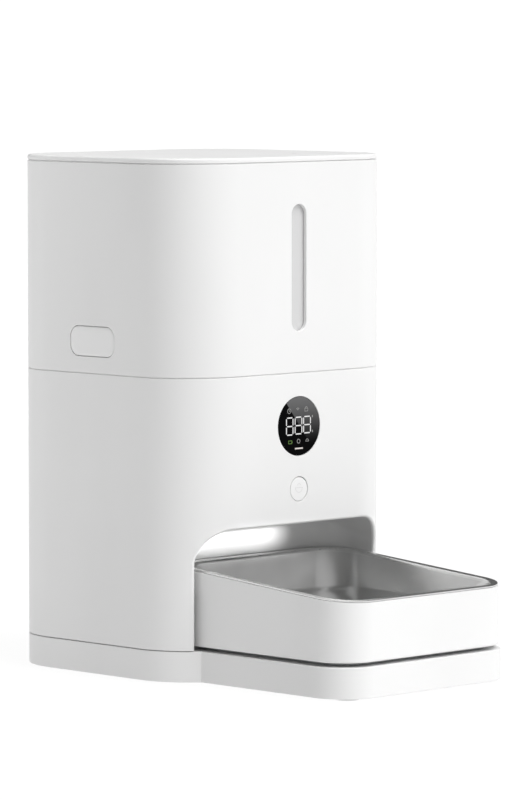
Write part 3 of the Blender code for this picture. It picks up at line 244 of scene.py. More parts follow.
# %% Metal
def metal(name, colour, roughness, brushed=(0.02, 1.0, 1.0), size=2400.0, depth=0.000003, **uniform):
    """Satin metal; brushed is small along the direction of its brushing."""
    finish = Finish(name, colour, roughness, Metallic=1.0, **uniform)
    brushing = finish.noise(size, 3.0, brushed)
    scratch = finish.noise(size * 0.12, 1.0, tuple(0.4 * share for share in brushed)).step(0.66, 0.70)
    cloud = finish.noise(30.0, 3.0)
    finish.relief(brushing - 0.6 * scratch, depth)
    finish.tint(cloud.step(0.35, 0.70), tuple(channel * 0.94 for channel in colour))
    finish.feed("Roughness", roughness + 0.16 * (brushing - 0.5) + 0.08 * (cloud - 0.5))
    return finish.material


finishes["bowl_steel"] = metal("bowl_steel", (0.76, 0.76, 0.755), 0.35)
finishes["rim_steel"] = metal("rim_steel", (0.84, 0.84, 0.835), 0.30, depth=0.000001)
finishes["spring_steel"] = metal("spring_steel", (0.66, 0.66, 0.66), 0.28, (1.0, 1.0, 1.0), 1500.0)
finishes["screw_steel"] = metal("screw_steel", (0.50, 0.50, 0.50), 0.35, (1.0, 1.0, 1.0), 1500.0)
finishes["cell_aluminium"] = metal("cell_aluminium", (0.78, 0.78, 0.79), 0.36, (1.0, 0.02, 1.0))
finishes["motor_metal"] = metal("motor_metal", (0.58, 0.58, 0.58), 0.36, (1.0, 1.0, 0.05))
print(len(finishes), "finishes with metals")

# %% [markdown]
# A circuit board is solder mask over copper: a fine grid of lighter tracks under a green lacquer. Bands of
# two crossed waves are enough for a piece that hardly shows.


# %% Circuit board
def circuit_board():
    """Green lacquer over faint crossed tracks."""
    finish = Finish("board_green", (0.03, 0.16, 0.08), 0.40, Coat_Weight=0.4, Coat_Roughness=0.15)
    waves = []
    for direction, scale in (("X", 180.0), ("Z", 120.0)):
        inputs = {"Vector": finish.place, "Scale": scale}
        waves.append(finish.add("ShaderNodeTexWave", {"bands_direction": direction}, inputs, "Fac"))
    tracks = waves[0].step(0.80, 0.90) + waves[1].step(0.84, 0.92)
    finish.tint(tracks * finish.noise(220.0).step(0.45, 0.55), (0.08, 0.30, 0.15))
    finish.relief(tracks, 0.00003)
    return finish.material


finishes["board_green"] = circuit_board()

# %% [markdown]
# The display is a disc of dark smoked glass. Its upper right half is painted a little lighter, with a soft
# diagonal edge from the upper left to the lower right: a painted reflection, laid into the glass colour. The
# marks are separate thin shapes, and their finish glows a little.

# %% Display glass and marks
lens_low, lens_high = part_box("display_lens")
DISPLAY_Z = (lens_low.z + lens_high.z) / 2


GLASS_ROUGHNESS = 0.07


def display_glass():
    """Black glass with a painted reflection: a soft diagonal lighter band in its upper right."""
    black = (0.0012, 0.0012, 0.0014)
    finish = Finish("display_black", black, GLASS_ROUGHNESS, Specular_IOR_Level=0.02)
    across = finish.add("ShaderNodeSeparateXYZ", {}, {0: finish.place}, "X")
    up = finish.add("ShaderNodeSeparateXYZ", {}, {0: finish.place}, "Z")
    # The lighter band in the upper right is a painted reflection, laid into the base colour.
    side = (across + 0.0041) * 1.25 + (up - (DISPLAY_Z + 0.0059))
    height = up.step(DISPLAY_Z - 0.013, DISPLAY_Z + 0.024)
    painted_reflection = side.step(-0.0002, 0.0004) * height
    finish.tint(painted_reflection, (0.15, 0.15, 0.152))
    finish.feed("Roughness", GLASS_ROUGHNESS + 0.02 * finish.noise(90.0))
    return finish.material


def glowing(name, colour, strength):
    """A printed mark lit from behind, slightly uneven along its length."""
    finish = Finish(name, tuple(0.2 * channel for channel in colour), 0.4, Emission_Strength=strength)
    low = tuple(0.86 * channel for channel in colour)
    uneven = finish.noise(420.0).step(0.3, 0.7)
    finish.feed("Emission Color", finish.mixed(uneven, low, colour))
    return finish.material


finishes["display_black"] = display_glass()
finishes["mark_white"] = glowing("mark_white", (1.0, 1.0, 1.0), 0.66)
finishes["mark_dim"] = glowing("mark_dim", (0.9, 0.9, 0.88), 0.13)
finishes["mark_green"] = glowing("mark_green", (0.30, 0.60, 0.10), 0.20)
finishes["mark_warm"] = glowing("mark_warm", (1.0, 0.93, 0.88), 0.55)
print(len(finishes), "finishes in all")

# %% [markdown]
# ## Painting the carried-over pieces
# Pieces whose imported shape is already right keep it: screws, springs, gears, boards, the tank and the drum.
# Each gets the finish with the name of its own slot.

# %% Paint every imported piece
for name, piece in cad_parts.items():
    for place in piece.material_slots:
        place.material = finishes[place.material.name.split(".")[0]]
print("painted", len(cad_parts), "pieces")

# %% [markdown]
# ## Building surfaces
# The visible shells need exact fillets round the holes and round the bowl opening, and a boolean with a
# bevel modifier breaks where the opening runs into the rounded corners. Instead the wall is unrolled flat:
# a triangulation fills its outline with the holes left out, and each point is then wrapped back round the
# column. The skin class collects such faces with the true surface normal at each corner, so that the
# shading is exact on long thin triangles as well.


# %% A skin of faces
MICROMETRES = 1e6
NO_AREA = 1e-12


class Skin:
    """Faces that share corners by place; each corner may bring its own surface normal."""

    def __init__(self):
        self.index = {}
        self.points = []
        self.faces = []
        self.normals = []

    def face(self, corners, facing=None):
        """Add one face from (point, normal) corners, turned to agree with its normals."""
        ring, normals = [], []
        for point, normal in corners:
            key = tuple(round(value * MICROMETRES) for value in point)
            if key not in self.index:
                self.index[key] = len(self.points)
                self.points.append(point)
            if self.index[key] not in ring:
                ring.append(self.index[key])
                normals.append(Vector(facing) if facing else normal)
        if len(ring) < 3:
            return
        across = Vector((0.0, 0.0, 0.0))
        for here, after in zip(ring, ring[1:] + ring[:1]):
            across += self.points[here].cross(self.points[after])
        if across.length < NO_AREA:
            return
        if across.dot(sum(normals, Vector((0.0, 0.0, 0.0)))) < 0:
            ring.reverse()
            normals.reverse()
        self.faces.append(ring)
        self.normals.append(normals)

    def strip(self, near, far, closed=False):
        """Join two equal rows of corners with faces."""
        count = len(near) if closed else len(near) - 1
        for here in range(count):
            after = (here + 1) % len(near)
            self.face((near[here], near[after], far[after], far[here]))

    def sheet(self, outline, holes, inner, place):
        """Fill an outline, less its holes, with triangles; place wraps a flat point into (point, normal)."""
        flat = list(outline)
        edges = [(here, (here + 1) % len(outline)) for here in range(len(outline))]
        for hole in holes:
            first = len(flat)
            flat += hole
            edges += [(first + here, first + (here + 1) % len(hole)) for here in range(len(hole))]
        fixed = list(flat)
        flat += [spot for spot in inner if open_spot(spot, outline, holes, fixed)]
        scaled = [Vector((u * MILLIMETRES, v * MILLIMETRES)) for u, v in flat]
        made = delaunay_2d_cdt(scaled, edges, [], 0, 1e-5)
        first_of = [sources[0] for sources in made[3]]
        for triangle in made[2]:
            corners = [flat[first_of[corner]] for corner in triangle]
            centre = (sum(c[0] for c in corners) / 3, sum(c[1] for c in corners) / 3)
            if inside(centre, outline) and not any(inside(centre, hole) for hole in holes):
                self.face([place(*corner) for corner in corners])

    def piece(self, name, finish, body, slot, *stands_for, given=True):
        """Make the mesh object and put it on its body."""
        mesh = bpy.data.meshes.new(name)
        mesh.from_pydata([tuple(point) for point in self.points], [], self.faces)
        mesh.shade_smooth()
        if given:
            mesh.normals_split_custom_set([tuple(n.normalized()) for ring in self.normals for n in ring])
        return dressed(name, mesh, finish, body, slot, *stands_for)


# %% [markdown]
# ## Flat outlines
# Three small helpers serve every sheet and every loft: whether a flat point lies in a loop, whether a grid
# point keeps clear of the edges, and the rounded rectangle that most plans of this object are. A fourth one
# puts a finished mesh into the scene, on the body that it moves with.


# %% Helpers for flat outlines
EDGE_ROOM = 0.0011
SAME_POINT = 1e-6


def inside(spot, loop):
    """Whether a flat point lies in a loop."""
    odd = False
    for (u0, v0), (u1, v1) in zip(loop, loop[1:] + loop[:1]):
        if (v0 > spot[1]) != (v1 > spot[1]) and spot[0] < u0 + (spot[1] - v0) / (v1 - v0) * (u1 - u0):
            odd = not odd
    return odd


def open_spot(spot, outline, holes, fixed):
    """Whether a grid point is inside the outline, out of the holes, and clear of their edges."""
    if not inside(spot, outline) or any(inside(spot, hole) for hole in holes):
        return False
    return all((spot[0] - u) ** 2 + (spot[1] - v) ** 2 > EDGE_ROOM**2 for u, v in fixed)


def dressed(name, mesh, finish, body, slot, *stands_for):
    """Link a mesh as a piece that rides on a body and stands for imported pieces."""
    piece = bpy.data.objects.new(name, mesh)
    bpy.context.scene.collection.objects.link(piece)
    mesh.materials.append(finishes[finish])
    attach(piece, body)
    if stands_for:
        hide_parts(*stands_for)
    return piece


def rounded(half_x, half_y, radius, steps, middle=(0.0, 0.0)):
    """Rounded rectangle, anticlockwise, as (x, y) points."""
    points = []
    for quarter, (side_x, side_y) in enumerate(((1, 1), (-1, 1), (-1, -1), (1, -1))):
        for step in range(steps + 1):
            angle = (quarter + step / steps) * math.pi / 2
            x = middle[0] + side_x * (half_x - radius) + radius * math.cos(angle)
            y = middle[1] + side_y * (half_y - radius) + radius * math.sin(angle)
            if all(math.dist(other, (x, y)) > SAME_POINT for other in points[-1:] + points[:1]):
                points.append((x, y))
    return points


# %% [markdown]
# ## The wall of the column
# A distance along the wall, counted from the middle of the front, fixes a place on it. The function below
# walks the four straights and four corners and returns the point at some depth behind the outer face, with
# the direction that the wall faces there.


# %% Wrap the flat wall round the column
GRID = 0.012
COLUMN_GAP = 0.0004
WALL_START = -ROUND_TRIP / 2 - 0.03


def wall_at(along, up, depth=0.0):
    """Point and outward normal of the wall at a distance along it."""
    rest = (along + STRAIGHT_X) % ROUND_TRIP
    for turn in range(4):
        heading = Vector((round(math.cos(turn * math.pi / 2)), round(math.sin(turn * math.pi / 2)), 0.0))
        outward = Vector((heading.y, -heading.x, 0.0))
        half, reach = (STRAIGHT_X, HALF_DEPTH) if turn % 2 == 0 else (STRAIGHT_Y, HALF_WIDTH)
        middle = Vector((0.0, MIDDLE, up)) + outward * reach
        if rest <= 2 * half:
            return middle + heading * (rest - half) - outward * depth, outward
        rest -= 2 * half
        if rest <= CORNER * math.pi / 2:
            angle = rest / CORNER
            normal = outward * math.cos(angle) + heading * math.sin(angle)
            return middle + heading * half - outward * CORNER + normal * (CORNER - depth), normal
        rest -= CORNER * math.pi / 2
    return wall_at(-STRAIGHT_X, up, depth)


def wall_columns(start=WALL_START, corner_steps=24):
    """Places of the upright lines of a wall's mesh, once round from a start beside the inlet."""
    places = {start, start + ROUND_TRIP}
    along = -STRAIGHT_X - ROUND_TRIP
    for turn in range(8):
        half = STRAIGHT_X if turn % 2 == 0 else STRAIGHT_Y
        count = math.ceil(2 * half / GRID)
        places.update(along + 2 * half * step / count for step in range(count))
        along += 2 * half
        places.update(along + CORNER * math.pi / 2 * step / corner_steps for step in range(corner_steps))
        along += CORNER * math.pi / 2
    ordered = sorted(place for place in places if start <= place <= start + ROUND_TRIP)
    kept = [ordered[0]]
    for place in ordered[1:]:
        if place - kept[-1] > COLUMN_GAP:
            kept.append(place)
    kept[-1] = start + ROUND_TRIP
    return kept


print("wall columns:", len(wall_columns()))

# %% [markdown]
# ## A shell with holes
# Each hole has a small fillet on its outer edge and a straight bore behind it. The rim at a seam is rounded
# as well, and that rounding with the gap beside it is what draws the thin line between two shells.


# %% Hole
FILLET_STEPS = 4


class Hole:
    """A rounded hole in the wall, about a middle, with an edge fillet."""

    def __init__(self, along, up, half_x, half_z, radius, fillet, steps=8):
        self.fillet = fillet
        edge = rounded(half_x, half_z, radius, steps)
        wide = rounded(half_x + 1.0, half_z + 1.0, radius + 1.0, steps)
        self.edge = [(along + u, up + v) for u, v in edge]
        self.away = [(u1 - u0, v1 - v0) for (u0, v0), (u1, v1) in zip(edge, wide)]

    def row(self, angle, depth=None):
        """Corners of the hole's surface at one angle of its fillet, or at a depth in its bore."""
        out = self.fillet * (1 - math.sin(angle))
        corners = []
        for (along, up), (u, v) in zip(self.edge, self.away):
            deep = self.fillet * (1 - math.cos(angle)) if depth is None else depth
            point, outward = wall_at(along + u * out, up + v * out, deep)
            away = Vector((-outward.y * u, outward.x * u, v))
            corners.append((point, outward * math.cos(angle) - away * math.sin(angle)))
        return corners

    def loop(self, grown):
        """Flat outline of the hole, with or without its fillet."""
        out = self.fillet if grown else 0.0
        return [(along + u * out, up + v * out) for (along, up), (u, v) in zip(self.edge, self.away)]


# %% [markdown]
# The wall itself is two sheets, the outer face and the inner one, with rims that join them above and below.
# A bowl opening is a notch in the lower edge of both sheets, and the rim is left out along it.


# %% Wall with rims and holes
OPENING_ROOM = 0.0008


def beside(columns, opening):
    """Columns to the left and to the right of an opening; without one, all of them are on the left."""
    if not opening:
        return columns, []
    left = [place for place in columns if place < opening[0][0] - OPENING_ROOM]
    return left, [place for place in columns if place > opening[-1][0] + OPENING_ROOM]


def wall_grid(columns, low, high, opening):
    """Flat outline of a wall between two heights, with a notch for an opening, and the grid inside it."""
    count = math.ceil((high - low) / GRID)
    rows = [low + (high - low) * step / count for step in range(count + 1)]
    left, right = beside(columns, opening)
    outline = [(place, low) for place in left] + (opening or []) + [(place, low) for place in right]
    outline += [(columns[-1], up) for up in rows[1:-1]]
    outline += [(place, high) for place in reversed(columns)]
    outline += [(columns[0], up) for up in reversed(rows[1:-1])]
    return outline, [(place, up) for place in columns[1:-1] for up in rows[1:-1]]


def rim_rows(places, edge, rim, facing):
    """Rows of corners over the rounding of a rim; facing is 1 for an upper rim and -1 for a lower one."""
    rows = []
    for angle in quarter(FILLET_STEPS) if rim else [0.0]:
        out, level = rim * (1 - math.cos(angle)), edge - facing * rim * (1 - math.sin(angle))
        row = [wall_at(place, level, out) for place in places]
        tip = UPWARD * facing * math.sin(angle)
        rows.append([(point, outward * math.cos(angle) + tip) for point, outward in row])
    return rows


def wall_shell(low, high, holes, rim_low, rim_high, opening=None):
    """Skin of a closed wall between two heights, with holes and rounded rims."""
    skin = Skin()
    columns = wall_columns()

    def inner(along, up):
        point, outward = wall_at(along, up, WALL)
        return point, -outward

    outline, grid = wall_grid(columns, low + rim_low, high - rim_high, opening)
    skin.sheet(outline, [hole.loop(True) for hole in holes], grid, wall_at)
    outline, grid = wall_grid(columns, low, high, opening)
    skin.sheet(outline, [hole.loop(False) for hole in holes], grid, inner)
    around = [columns]
    if opening:
        left, right = beside(columns, opening)
        around = [[*left, opening[0][0]], [opening[-1][0], *right]]
    rims = [(columns, high, rim_high, 1.0)] + [(places, low, rim_low, -1.0) for places in around]
    for places, edge, rim, facing in rims:
        rows = rim_rows(places, edge, rim, facing)
        for near, far in zip(rows, rows[1:]):
            skin.strip(near, far)
        up = UPWARD * facing
        land = [(inner(place, edge)[0], up) for place in places]
        skin.strip([(point, up) for point, normal in rows[-1]], land)
    for hole in holes:
        stack = [hole.row(angle) for angle in quarter(FILLET_STEPS)]
        stack.append(hole.row(math.pi / 2, WALL))
        for near, far in zip(stack, stack[1:]):
            skin.strip(near, far, closed=True)
    return skin


# %% [markdown]
# ## The bowl opening
# The recess meets the front wall in a soft lip. At each place round the arch a ball of the lip's radius
# rests against the wall and the side of the recess, and the lip follows the ball from one to the other.
# Near the rounded corners of the column the wall leans away, so the lip turns through more than a right
# angle there.

# %% Lip of the opening
holder_low, holder_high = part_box("bowl_holder")
liner_low, liner_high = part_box("bay_liner")
LINER_WALL = 0.002
BAY_HALF = liner_high.x - LINER_WALL
BAY_TOP = liner_high.z - LINER_WALL
BAY_BACK = liner_high.y - LINER_WALL
BAY_CORNER = 0.022
LIP = 0.0016


def arch_edge(half, top, corner, bottom, upright=8, turning=16, across=16):
    """Arch from its left foot over the top to its right foot, as (x, z, away x, away z)."""
    rise = top - corner - bottom
    edge = [(-half, bottom + rise * step / upright, -1.0, 0.0) for step in range(upright)]
    for step in range(turning + 1):
        angle = math.pi - math.pi / 2 * step / turning
        u, v = math.cos(angle), math.sin(angle)
        edge.append((-half + corner + corner * u, top - corner + corner * v, u, v))
    flat_half = half - corner
    level = [(flat_half * (2 * step / across - 1), top, 0.0, 1.0) for step in range(1, across)]
    return edge + level + [(-x, z, -u, v) for x, z, u, v in reversed(edge)]


def lip_corner(x, z, u, v, share):
    """Corner of the lip between the wall (share 0) and the recess (share 1), and its place along the wall."""
    centre_x = x + u * LIP
    beyond = abs(centre_x) - STRAIGHT_X
    turn = math.asin(beyond / (CORNER - LIP)) if beyond > 0 else 0.0
    side = math.copysign(1.0, centre_x)
    back = FRONT + CORNER - (CORNER - LIP) * math.cos(turn)
    outward = Vector((side * math.sin(turn), -math.cos(turn), 0.0))
    normal = outward.slerp(Vector((-u, 0.0, -v)), share)
    centre = Vector((centre_x, back, z + v * LIP))
    along = side * (STRAIGHT_X + CORNER * turn) if beyond > 0 else centre_x
    return centre + normal * LIP, normal, along


arch = arch_edge(BAY_HALF, BAY_TOP, BAY_CORNER, housing_low.z)
mouth = [(lip_corner(*spot, 0.0)[2], spot[1] + spot[3] * LIP) for spot in arch]
print("arch of", len(arch), "places, lip", MILLIMETRES * LIP, "mm")

# %% [markdown]
# ## Housing
# The lower shell carries the display, the feed button and the power inlet. Its holes are made a hair larger
# than what sits in them, and that hair is the dark ring round the button.

# %% Holes of the housing
button_low, button_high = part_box("feed_button")
inlet_low, inlet_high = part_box("power_inlet")
FLANGE = 0.0015
LENS_LAP = 0.002
PANEL_GAP = 0.0003
BUTTON_RADIUS = button_high.x - FLANGE
BUTTON_Z = (button_low.z + button_high.z) / 2
DISPLAY_RADIUS = lens_high.x - LENS_LAP
INLET_Z = (inlet_low.z + inlet_high.z) / 2
INLET_RADIUS = 0.0053
EDGE = 0.0004
housing_holes = []
for along, up, radius, fillet, steps in (
    (0.0, DISPLAY_Z, DISPLAY_RADIUS + PANEL_GAP, 0.0002, 16),
    (0.0, BUTTON_Z, BUTTON_RADIUS + PANEL_GAP, EDGE, 12),
    (-ROUND_TRIP / 2, INLET_Z, INLET_RADIUS, EDGE, 8),
):
    housing_holes.append(Hole(along, up, radius, radius, radius, fillet, steps))
housing_skin = wall_shell(housing_low.z, housing_high.z, housing_holes, 0.0, EDGE, mouth)
print("housing wall:", len(housing_skin.faces), "faces")

# %% [markdown]
# Now the lip is laid round the opening. It starts where the wall was notched, rolls into the recess, ends
# in a short land behind which the recess begins, and turns back to the inner face of the wall, so that the
# shell keeps its thickness there as well.

# %% Lip and land
LIP_STEPS = 8
LIP_LAND = 0.0006
LIP_WALL = 0.0012
lip_rows = []
for step in range(LIP_STEPS + 1):
    row = [lip_corner(*spot, step / LIP_STEPS) for spot in arch]
    lip_rows.append([(point, normal) for point, normal, along in row])
land = [(point + BACKWARD * LIP_LAND, normal) for point, normal in lip_rows[-1]]
lip_rows.append(land)
for near, far in zip(lip_rows, lip_rows[1:]):
    housing_skin.strip(near, far)
land_back = []
for (point, normal), (x, z, u, v) in zip(land, arch):
    land_back.append((point + Vector((u, 0.0, v)) * LIP_WALL, BACKWARD))
housing_skin.strip([(point, BACKWARD) for point, normal in land], land_back)
inner_edge = []
for along, up in mouth:
    point, outward = wall_at(along, up, WALL)
    inner_edge.append((point, -outward))
outer_edge = [(point, -wall_at(*place)[1]) for (point, normal), place in zip(land_back, mouth)]
housing_skin.strip(outer_edge, inner_edge)
for end in (0, -1):
    ring = [row[end] for row in lip_rows] + [land_back[end], inner_edge[end]]
    housing_skin.face(ring, facing=-UPWARD)
housing_skin.piece("housing_shell", "shell_white", "root", "shell_white", "housing")
print("housing:", len(housing_skin.faces), "faces")

# %% [markdown]
# ## Hopper shell
# The upper shell has the level slot in front and a hole on each side for a release button. The window and
# the buttons reach a little beyond their holes on the inside, so the holes are smaller than the packed
# pieces.

# %% Hopper shell
window_low, window_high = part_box("window_lens")
release_low, release_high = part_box("release_button_left")
WINDOW_LAP = 0.0035
RELEASE_FLANGE = 0.0018
RELEASE_GAP = 0.00035
WINDOW_HALF = window_high.x - WINDOW_LAP
WINDOW_Z = (window_low.z + window_high.z) / 2
WINDOW_RISE = (window_high.z - window_low.z) / 2 - WINDOW_LAP
RELEASE_HALF_Y = (release_high.y - release_low.y) / 2 - RELEASE_FLANGE
RELEASE_HALF_Z = 0.00945
RELEASE_Z = release_high.z - RELEASE_FLANGE - RELEASE_HALF_Z
RELEASE_CORNER = 0.0070
RELEASE_Y = (release_low.y + release_high.y) / 2
SIDE_PLACE = STRAIGHT_X + CORNER * math.pi / 2 + STRAIGHT_Y + RELEASE_Y - MIDDLE
release_room = [size + RELEASE_GAP for size in (RELEASE_HALF_Y, RELEASE_HALF_Z, RELEASE_CORNER)]
hopper_holes = [Hole(0.0, WINDOW_Z, WINDOW_HALF, WINDOW_RISE, WINDOW_HALF, 0.0005, 12)]
hopper_holes += [Hole(side * SIDE_PLACE, RELEASE_Z, *release_room, EDGE, 10) for side in (-1, 1)]
hopper_skin = wall_shell(hopper_low.z, hopper_high.z, hopper_holes, EDGE, EDGE)
hopper_skin.piece("hopper_wall", "shell_white", "hopper", "shell_white", "hopper_shell")
print("hopper:", len(hopper_skin.faces), "faces")

# %% [markdown]
# ## Lofted pieces
# The lid, the bowl and the buttons are stacks of outlines. A loft joins them, and weighted normals keep the
# large flat faces flat where a fillet begins.


# %% Loft
SHARP = 38.0
BUTTON_SHARP = 50.0


def as_mesh(name, shape):
    """Turn a bmesh into a mesh with its faces turned outward, and free it."""
    bmesh.ops.recalc_face_normals(shape, faces=shape.faces)
    mesh = bpy.data.meshes.new(name)
    shape.to_mesh(mesh)
    shape.free()
    return mesh


def stacked(name, loops, ring=False):
    """Mesh of a stack of equal loops, capped or closed into a ring."""
    shape = bmesh.new()
    rows = [[shape.verts.new(point) for point in loop] for loop in loops]
    pairs = list(zip(rows, rows[1:]))
    if ring:
        pairs.append((rows[-1], rows[0]))
    else:
        shape.faces.new(list(reversed(rows[0])))
        shape.faces.new(rows[-1])
    for lower, upper in pairs:
        for here, below in enumerate(lower):
            after = (here + 1) % len(lower)
            shape.faces.new((below, lower[after], upper[after], upper[here]))
    return as_mesh(name, shape)


def smoothed(mesh, sharp=SHARP):
    """Shade a mesh smooth, but keep edges that turn by more than some degrees."""
    mesh.shade_smooth()
    mesh.set_sharp_from_angle(angle=math.radians(sharp))


def loft(name, loops, finish, body, slot, *stands_for, ring=False, sharp=SHARP):
    """Piece made of a stack of equal loops."""
    mesh = stacked(name, loops, ring)
    smoothed(mesh, sharp)
    piece = dressed(name, mesh, finish, body, slot, *stands_for)
    weighted = piece.modifiers.new("even shading", "WEIGHTED_NORMAL")
    weighted.keep_sharp = True
    weighted.weight = 90
    return piece


def flat(outline, height):
    """An outline at one height."""
    return [(x, y, height) for x, y in outline]


def column(inset, steps=24):
    """Plan of the column, drawn in."""
    return rounded(HALF_WIDTH - inset, HALF_DEPTH - inset, CORNER - inset, steps, (0.0, MIDDLE))


# %% [markdown]
# ## Lid
# A flat lid with a rounded edge, a crown too small to see as such, and a plug that hangs into the tank. A
# small raised arrow on top shows which edge is the front one.

# %% Lid
lid_low, lid_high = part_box("lid")
LID_SEAT = hopper_high.z + 0.0005
LID_ROUND = 0.0016
CROWN = 0.0003
CROWN_REACH = 0.038
PLUG_INSET = 0.0097
PLUG_WALL = 0.0016
LID_FACE = lid_high.z - 0.00006
lid_loops = [
    flat(column(PLUG_INSET + PLUG_WALL + 0.004), LID_SEAT),
    flat(column(PLUG_INSET + PLUG_WALL), LID_SEAT),
    flat(column(PLUG_INSET + PLUG_WALL), lid_low.z + 0.0003),
    flat(column(PLUG_INSET + PLUG_WALL - 0.0003), lid_low.z),
    flat(column(PLUG_INSET + 0.0004), lid_low.z),
    flat(column(PLUG_INSET), lid_low.z + 0.0004),
    flat(column(PLUG_INSET), LID_SEAT),
    flat(column(0.0010), LID_SEAT),
    flat(column(0.0004), LID_SEAT + 0.00012),
    flat(column(0.0), LID_SEAT + 0.0005),
]
for angle in quarter(8):
    level = LID_FACE - CROWN - LID_ROUND + LID_ROUND * math.sin(angle)
    lid_loops.append(flat(column(LID_ROUND * (1 - math.cos(angle))), level))
for share in (0.25, 0.55, 0.85):
    lid_loops.append(flat(column(LID_ROUND + CROWN_REACH * share), LID_FACE - CROWN * (1 - share) ** 2))
loft("lid_cover", lid_loops, "shell_white", "lid", "shell_white", "lid")
arrow = [(0.0305, 0.0065), (0.0320, 0.0050), (0.0335, 0.0065)]
arrow += [(0.0335, 0.0073), (0.0320, 0.0058), (0.0305, 0.0073)]
arrow_loops = [flat(arrow, LID_FACE - 0.00002), flat(arrow, lid_high.z)]
loft("lid_arrow", arrow_loops, "sign_grey", "lid", "shell_white")
print("lid of", len(lid_loops), "loops")

# %% [markdown]
# Between two shells runs a gap of half a millimetre. A real shell has a tongue just behind it, which
# centres the next one and keeps light from falling deep into the gap, so the seam reads as a fine grey
# line.


# %% Tongues in the seams
TONGUE_DEPTH = 0.0007
TONGUE_WALL = 0.0012
TONGUE_GAP = 0.00008
for name, low_z, high_z, body in (
    ("tongue_hopper", housing_high.z, hopper_low.z, "root"),
    ("tongue_lid", hopper_high.z, LID_SEAT, "hopper"),
):
    outer, inner = column(TONGUE_DEPTH), column(TONGUE_DEPTH + TONGUE_WALL)
    top = high_z - TONGUE_GAP
    rings = [flat(outer, low_z), flat(outer, top), flat(inner, top), flat(inner, low_z)]
    loft(name, rings, "shell_white", body, "shell_white", ring=True)
print("tongues", round(MILLIMETRES * TONGUE_DEPTH, 1), "mm behind the face")

# %% [markdown]
# ## Base with its tray
# One shell: the foot of the column and the tray that reaches forward. Its plan is a rounded square joined
# to a rounded rectangle, with a small fillet in each inner corner. The fillet's middle stays put when the
# plan is drawn in, which keeps the rounded upper edge even all the way round.

# %% Plan of the base
base_low, base_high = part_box("base_tray")
TRAY_STEP = 0.019
TRAY_FRONT = base_low.y
TRAY_HALF = HALF_WIDTH - TRAY_STEP
TRAY_CORNER = 0.0265
INNER_FILLET = 0.0012


def arc(centre, radius, start, end, steps):
    """Arc of a circle between two angles in degrees."""
    turns = [math.radians(start + (end - start) * step / steps) for step in range(steps + 1)]
    return [(centre[0] + radius * math.cos(turn), centre[1] + radius * math.sin(turn)) for turn in turns]


def base_plan(inset):
    """Plan of the foot and the tray, anticlockwise, drawn in."""
    hub = (STRAIGHT_X, FRONT + CORNER)
    middle_x = TRAY_HALF + INNER_FILLET
    fall = math.sqrt((CORNER + INNER_FILLET) ** 2 - (middle_x - hub[0]) ** 2)
    middle = (middle_x, hub[1] - fall)
    lean = math.degrees(math.atan2(hub[1] - middle[1], hub[0] - middle[0]))
    half = arc((TRAY_HALF - TRAY_CORNER, TRAY_FRONT + TRAY_CORNER), TRAY_CORNER - inset, -90, 0, 16)
    half += arc(middle, INNER_FILLET + inset, 180, lean, 5)
    half += arc(hub, CORNER - inset, lean - 180, 0, 16)
    half += arc((STRAIGHT_X, BACK - CORNER), CORNER - inset, 0, 90, 20)
    return half + [(-x, y) for x, y in reversed(half)]


print("plan of the base has", len(base_plan(0.0)), "points")

# %% [markdown]
# The deck of the base has an opening for the battery box, one for the post of the weighing platform and a
# few small ones. The same triangulation that filled the wall fills the deck and its underside.

# %% Openings of the deck
BASE_EDGE = 0.0006
BASE_FOOT = 0.0006
DECK = 0.0025
CELL_ROOM = 0.0006
SCREW_ROOM = 0.0016
battery_low, battery_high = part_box("battery_box")
cell_middle = (0.0, (battery_low.y + battery_high.y) / 2)
cell_half_y = (battery_high.y - battery_low.y) / 2 + CELL_ROOM
deck_holes = [rounded(battery_high.x + CELL_ROOM, cell_half_y, 0.0005, 2, cell_middle)]
platform_post = (0.0, TRAY_FRONT + 0.045)
cable_hole = (0.040, FRONT + 0.040)
deck_holes.append(arc(platform_post, 0.008, 0, 354, 30))
deck_holes.append(arc(cable_hole, 0.006, 0, 350, 20))
for number in range(1, 5):
    screw_low, screw_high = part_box(f"housing_screw_{number}")
    spot = ((screw_low.x + screw_high.x) / 2, (screw_low.y + screw_high.y) / 2)
    deck_holes.append(arc(spot, SCREW_ROOM, 0, 345, 12))
print("deck holes:", len(deck_holes))

# %% [markdown]
# The side of the base is a stack of its plan with the right normal at each level, which rounds the upper
# edge and the foot. Two sheets close it above and below the deck, and strips join them round the foot,
# inside the wall and in each hole.

# %% Sides, deck and holes
base_skin = Skin()


def base_row(inset, up, flare):
    """Corners of the base's side at one level; flare is the normal's upward share."""
    plan = base_plan(inset)
    corners = []
    for here, (x, y) in enumerate(plan):
        before, after = plan[here - 1], plan[(here + 1) % len(plan)]
        side = Vector((after[1] - before[1], before[0] - after[0], 0.0)).normalized()
        corners.append((Vector((x, y, up)), side * math.sqrt(1 - flare * flare) + UPWARD * flare))
    return corners


def level_at(height, normal):
    """Function that places a flat point at a height, with one normal for all."""
    return lambda x, y: (Vector((x, y, height)), normal)


